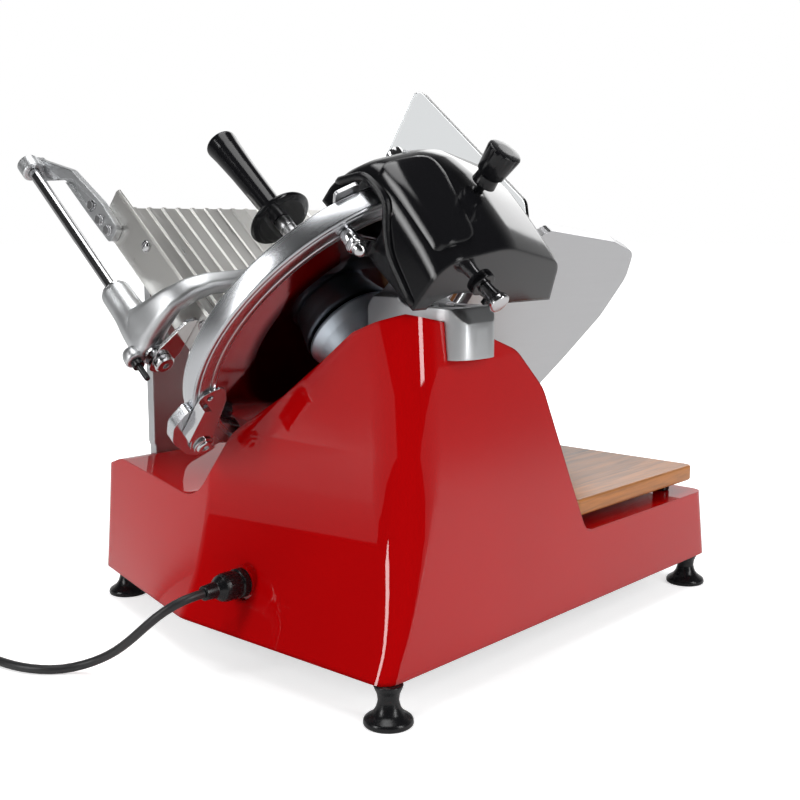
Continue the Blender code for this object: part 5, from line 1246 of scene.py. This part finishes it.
def make_gauge():
    dress("satin", "gauge_plate")
    dress("steel", "gauge_bar")
    face = -0.217 - SEAT
    flutes = []
    for number in range(16):
        turn = Matrix.Rotation(number * math.tau / 16, 4, "Z")
        flutes.append(at(rod(0.0030, face - 0.040, face - 0.0105, 16), turn @ moved(0.0276)))
    knob = carved(spun(soft_profile([
        (0.0063, face), (0.0170, face), (0.0180, face - 0.0040), (0.0260, face - 0.0080),
        (0.0260, face - 0.0240), (0.0235, face - 0.0275), (0.0150, face - 0.0280),
        (0.0140, face - 0.0272), (0, face - 0.0270), (0, face - 0.0162),
        (0.0063, face - 0.0162), (0.0063, face)], 0.0008), 128), less=flutes)
    piece("gauge_dial_knob", knob, "grip", "gauge_dial",
          MACHINE @ moved(*DIAL_PLACE) @ TO_Y, ("gauge_knob",), sharp=35)


def make_switch():
    dress("grip", "switch_plate")
    for name, finish, slot in (("start_button", "green", "start_green"),
                               ("stop_button", "stop", "stop_red")):
        low, high = (Vector(corner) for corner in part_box(name))
        centre = (low + high) / 2
        cap = spun(soft_profile([
            (0, low.y), (0.0060, low.y + 0.0004), (0.0078, low.y + 0.0004), (0.0090, low.y + 0.0016),
            (0.0090, high.y), (0, high.y)], 0.0006), 64)
        piece("cap_" + name, cap, finish, name.split("_")[0],
              moved(centre.x, 0, centre.z) @ TO_Y, (name,))


# ---------------------------------------------------------------- operators

def operator(name, label, text, action):
    """An operator class that makes one group of pieces."""
    def execute(self, context):
        action()
        return {"FINISHED"}

    return type("SLICER_OT_" + name, (bpy.types.Operator,), {
        "bl_idname": "slicer." + name, "bl_label": label, "__doc__": text, "execute": execute})


class SLICER_OT_finishes(bpy.types.Operator):
    """Make every finish that the pieces use"""
    bl_idname = "slicer.finishes"
    bl_label = "Finishes"

    def execute(self, context):
        FINISH.update(make_finishes())
        return {"FINISHED"}


OPERATORS = [SLICER_OT_finishes] + [operator(*row) for row in (
    ("camera", "Camera", "Place the camera", make_camera),
    ("cord", "Cord", "Make the cord, its gland and its plug", make_cord),
    ("stage", "Stage", "Make the floor and the lamps", make_stage),
    ("casing", "Casing", "Make the enamelled casing", make_casing),
    ("feet", "Feet", "Make the four feet", make_feet),
    ("board", "Board", "Make the cutting board and its pads", make_board),
    ("blade", "Blade", "Make the blade, its hub and its front cover", make_blade),
    ("ring", "Guard ring", "Make the guard ring and its fixings", make_ring),
    ("support", "Support", "Finish the sharpener's support", make_support),
    ("carriage", "Carriage", "Make the table, the hand guard and the rod", make_carriage),
    ("press", "Press", "Make the press arm and its grip", make_press),
    ("sharpener", "Sharpener", "Make the sharpener", make_sharpener),
    ("gauge", "Gauge", "Make the gauge plate's knob", make_gauge),
    ("switch", "Switch", "Make the start and stop buttons", make_switch),
)]


class SLICER_PT_panel(bpy.types.Panel):
    """The slicer's pieces, sizes and colours"""
    bl_idname = "SLICER_PT_panel"
    bl_label = "Slicer"
    bl_space_type = "VIEW_3D"
    bl_region_type = "UI"
    bl_category = "Slicer"

    def draw(self, context):
        layout = self.layout
        for name in SlicerSizes.__annotations__:
            layout.prop(context.scene.slicer_sizes, name)
        for name in SlicerColours.__annotations__:
            layout.prop(context.scene.slicer_colours, name)
        for made in OPERATORS:
            layout.operator(made.bl_idname)


CLASSES = [SlicerSizes, SlicerColours] + OPERATORS + [SLICER_PT_panel]


def register():
    for made in CLASSES:
        bpy.utils.register_class(made)
    bpy.types.Scene.slicer_sizes = PointerProperty(type=SlicerSizes)
    bpy.types.Scene.slicer_colours = PointerProperty(type=SlicerColours)


def unregister():
    del bpy.types.Scene.slicer_colours
    del bpy.types.Scene.slicer_sizes
    for made in reversed(CLASSES):
        bpy.utils.unregister_class(made)


def main():
    register()
    scene = bpy.context.scene
    scene.view_settings.view_transform = "Standard"
    for made in OPERATORS:
        getattr(bpy.ops.slicer, made.bl_idname.split(".")[1])()


if __name__ == "__main__":
    main()
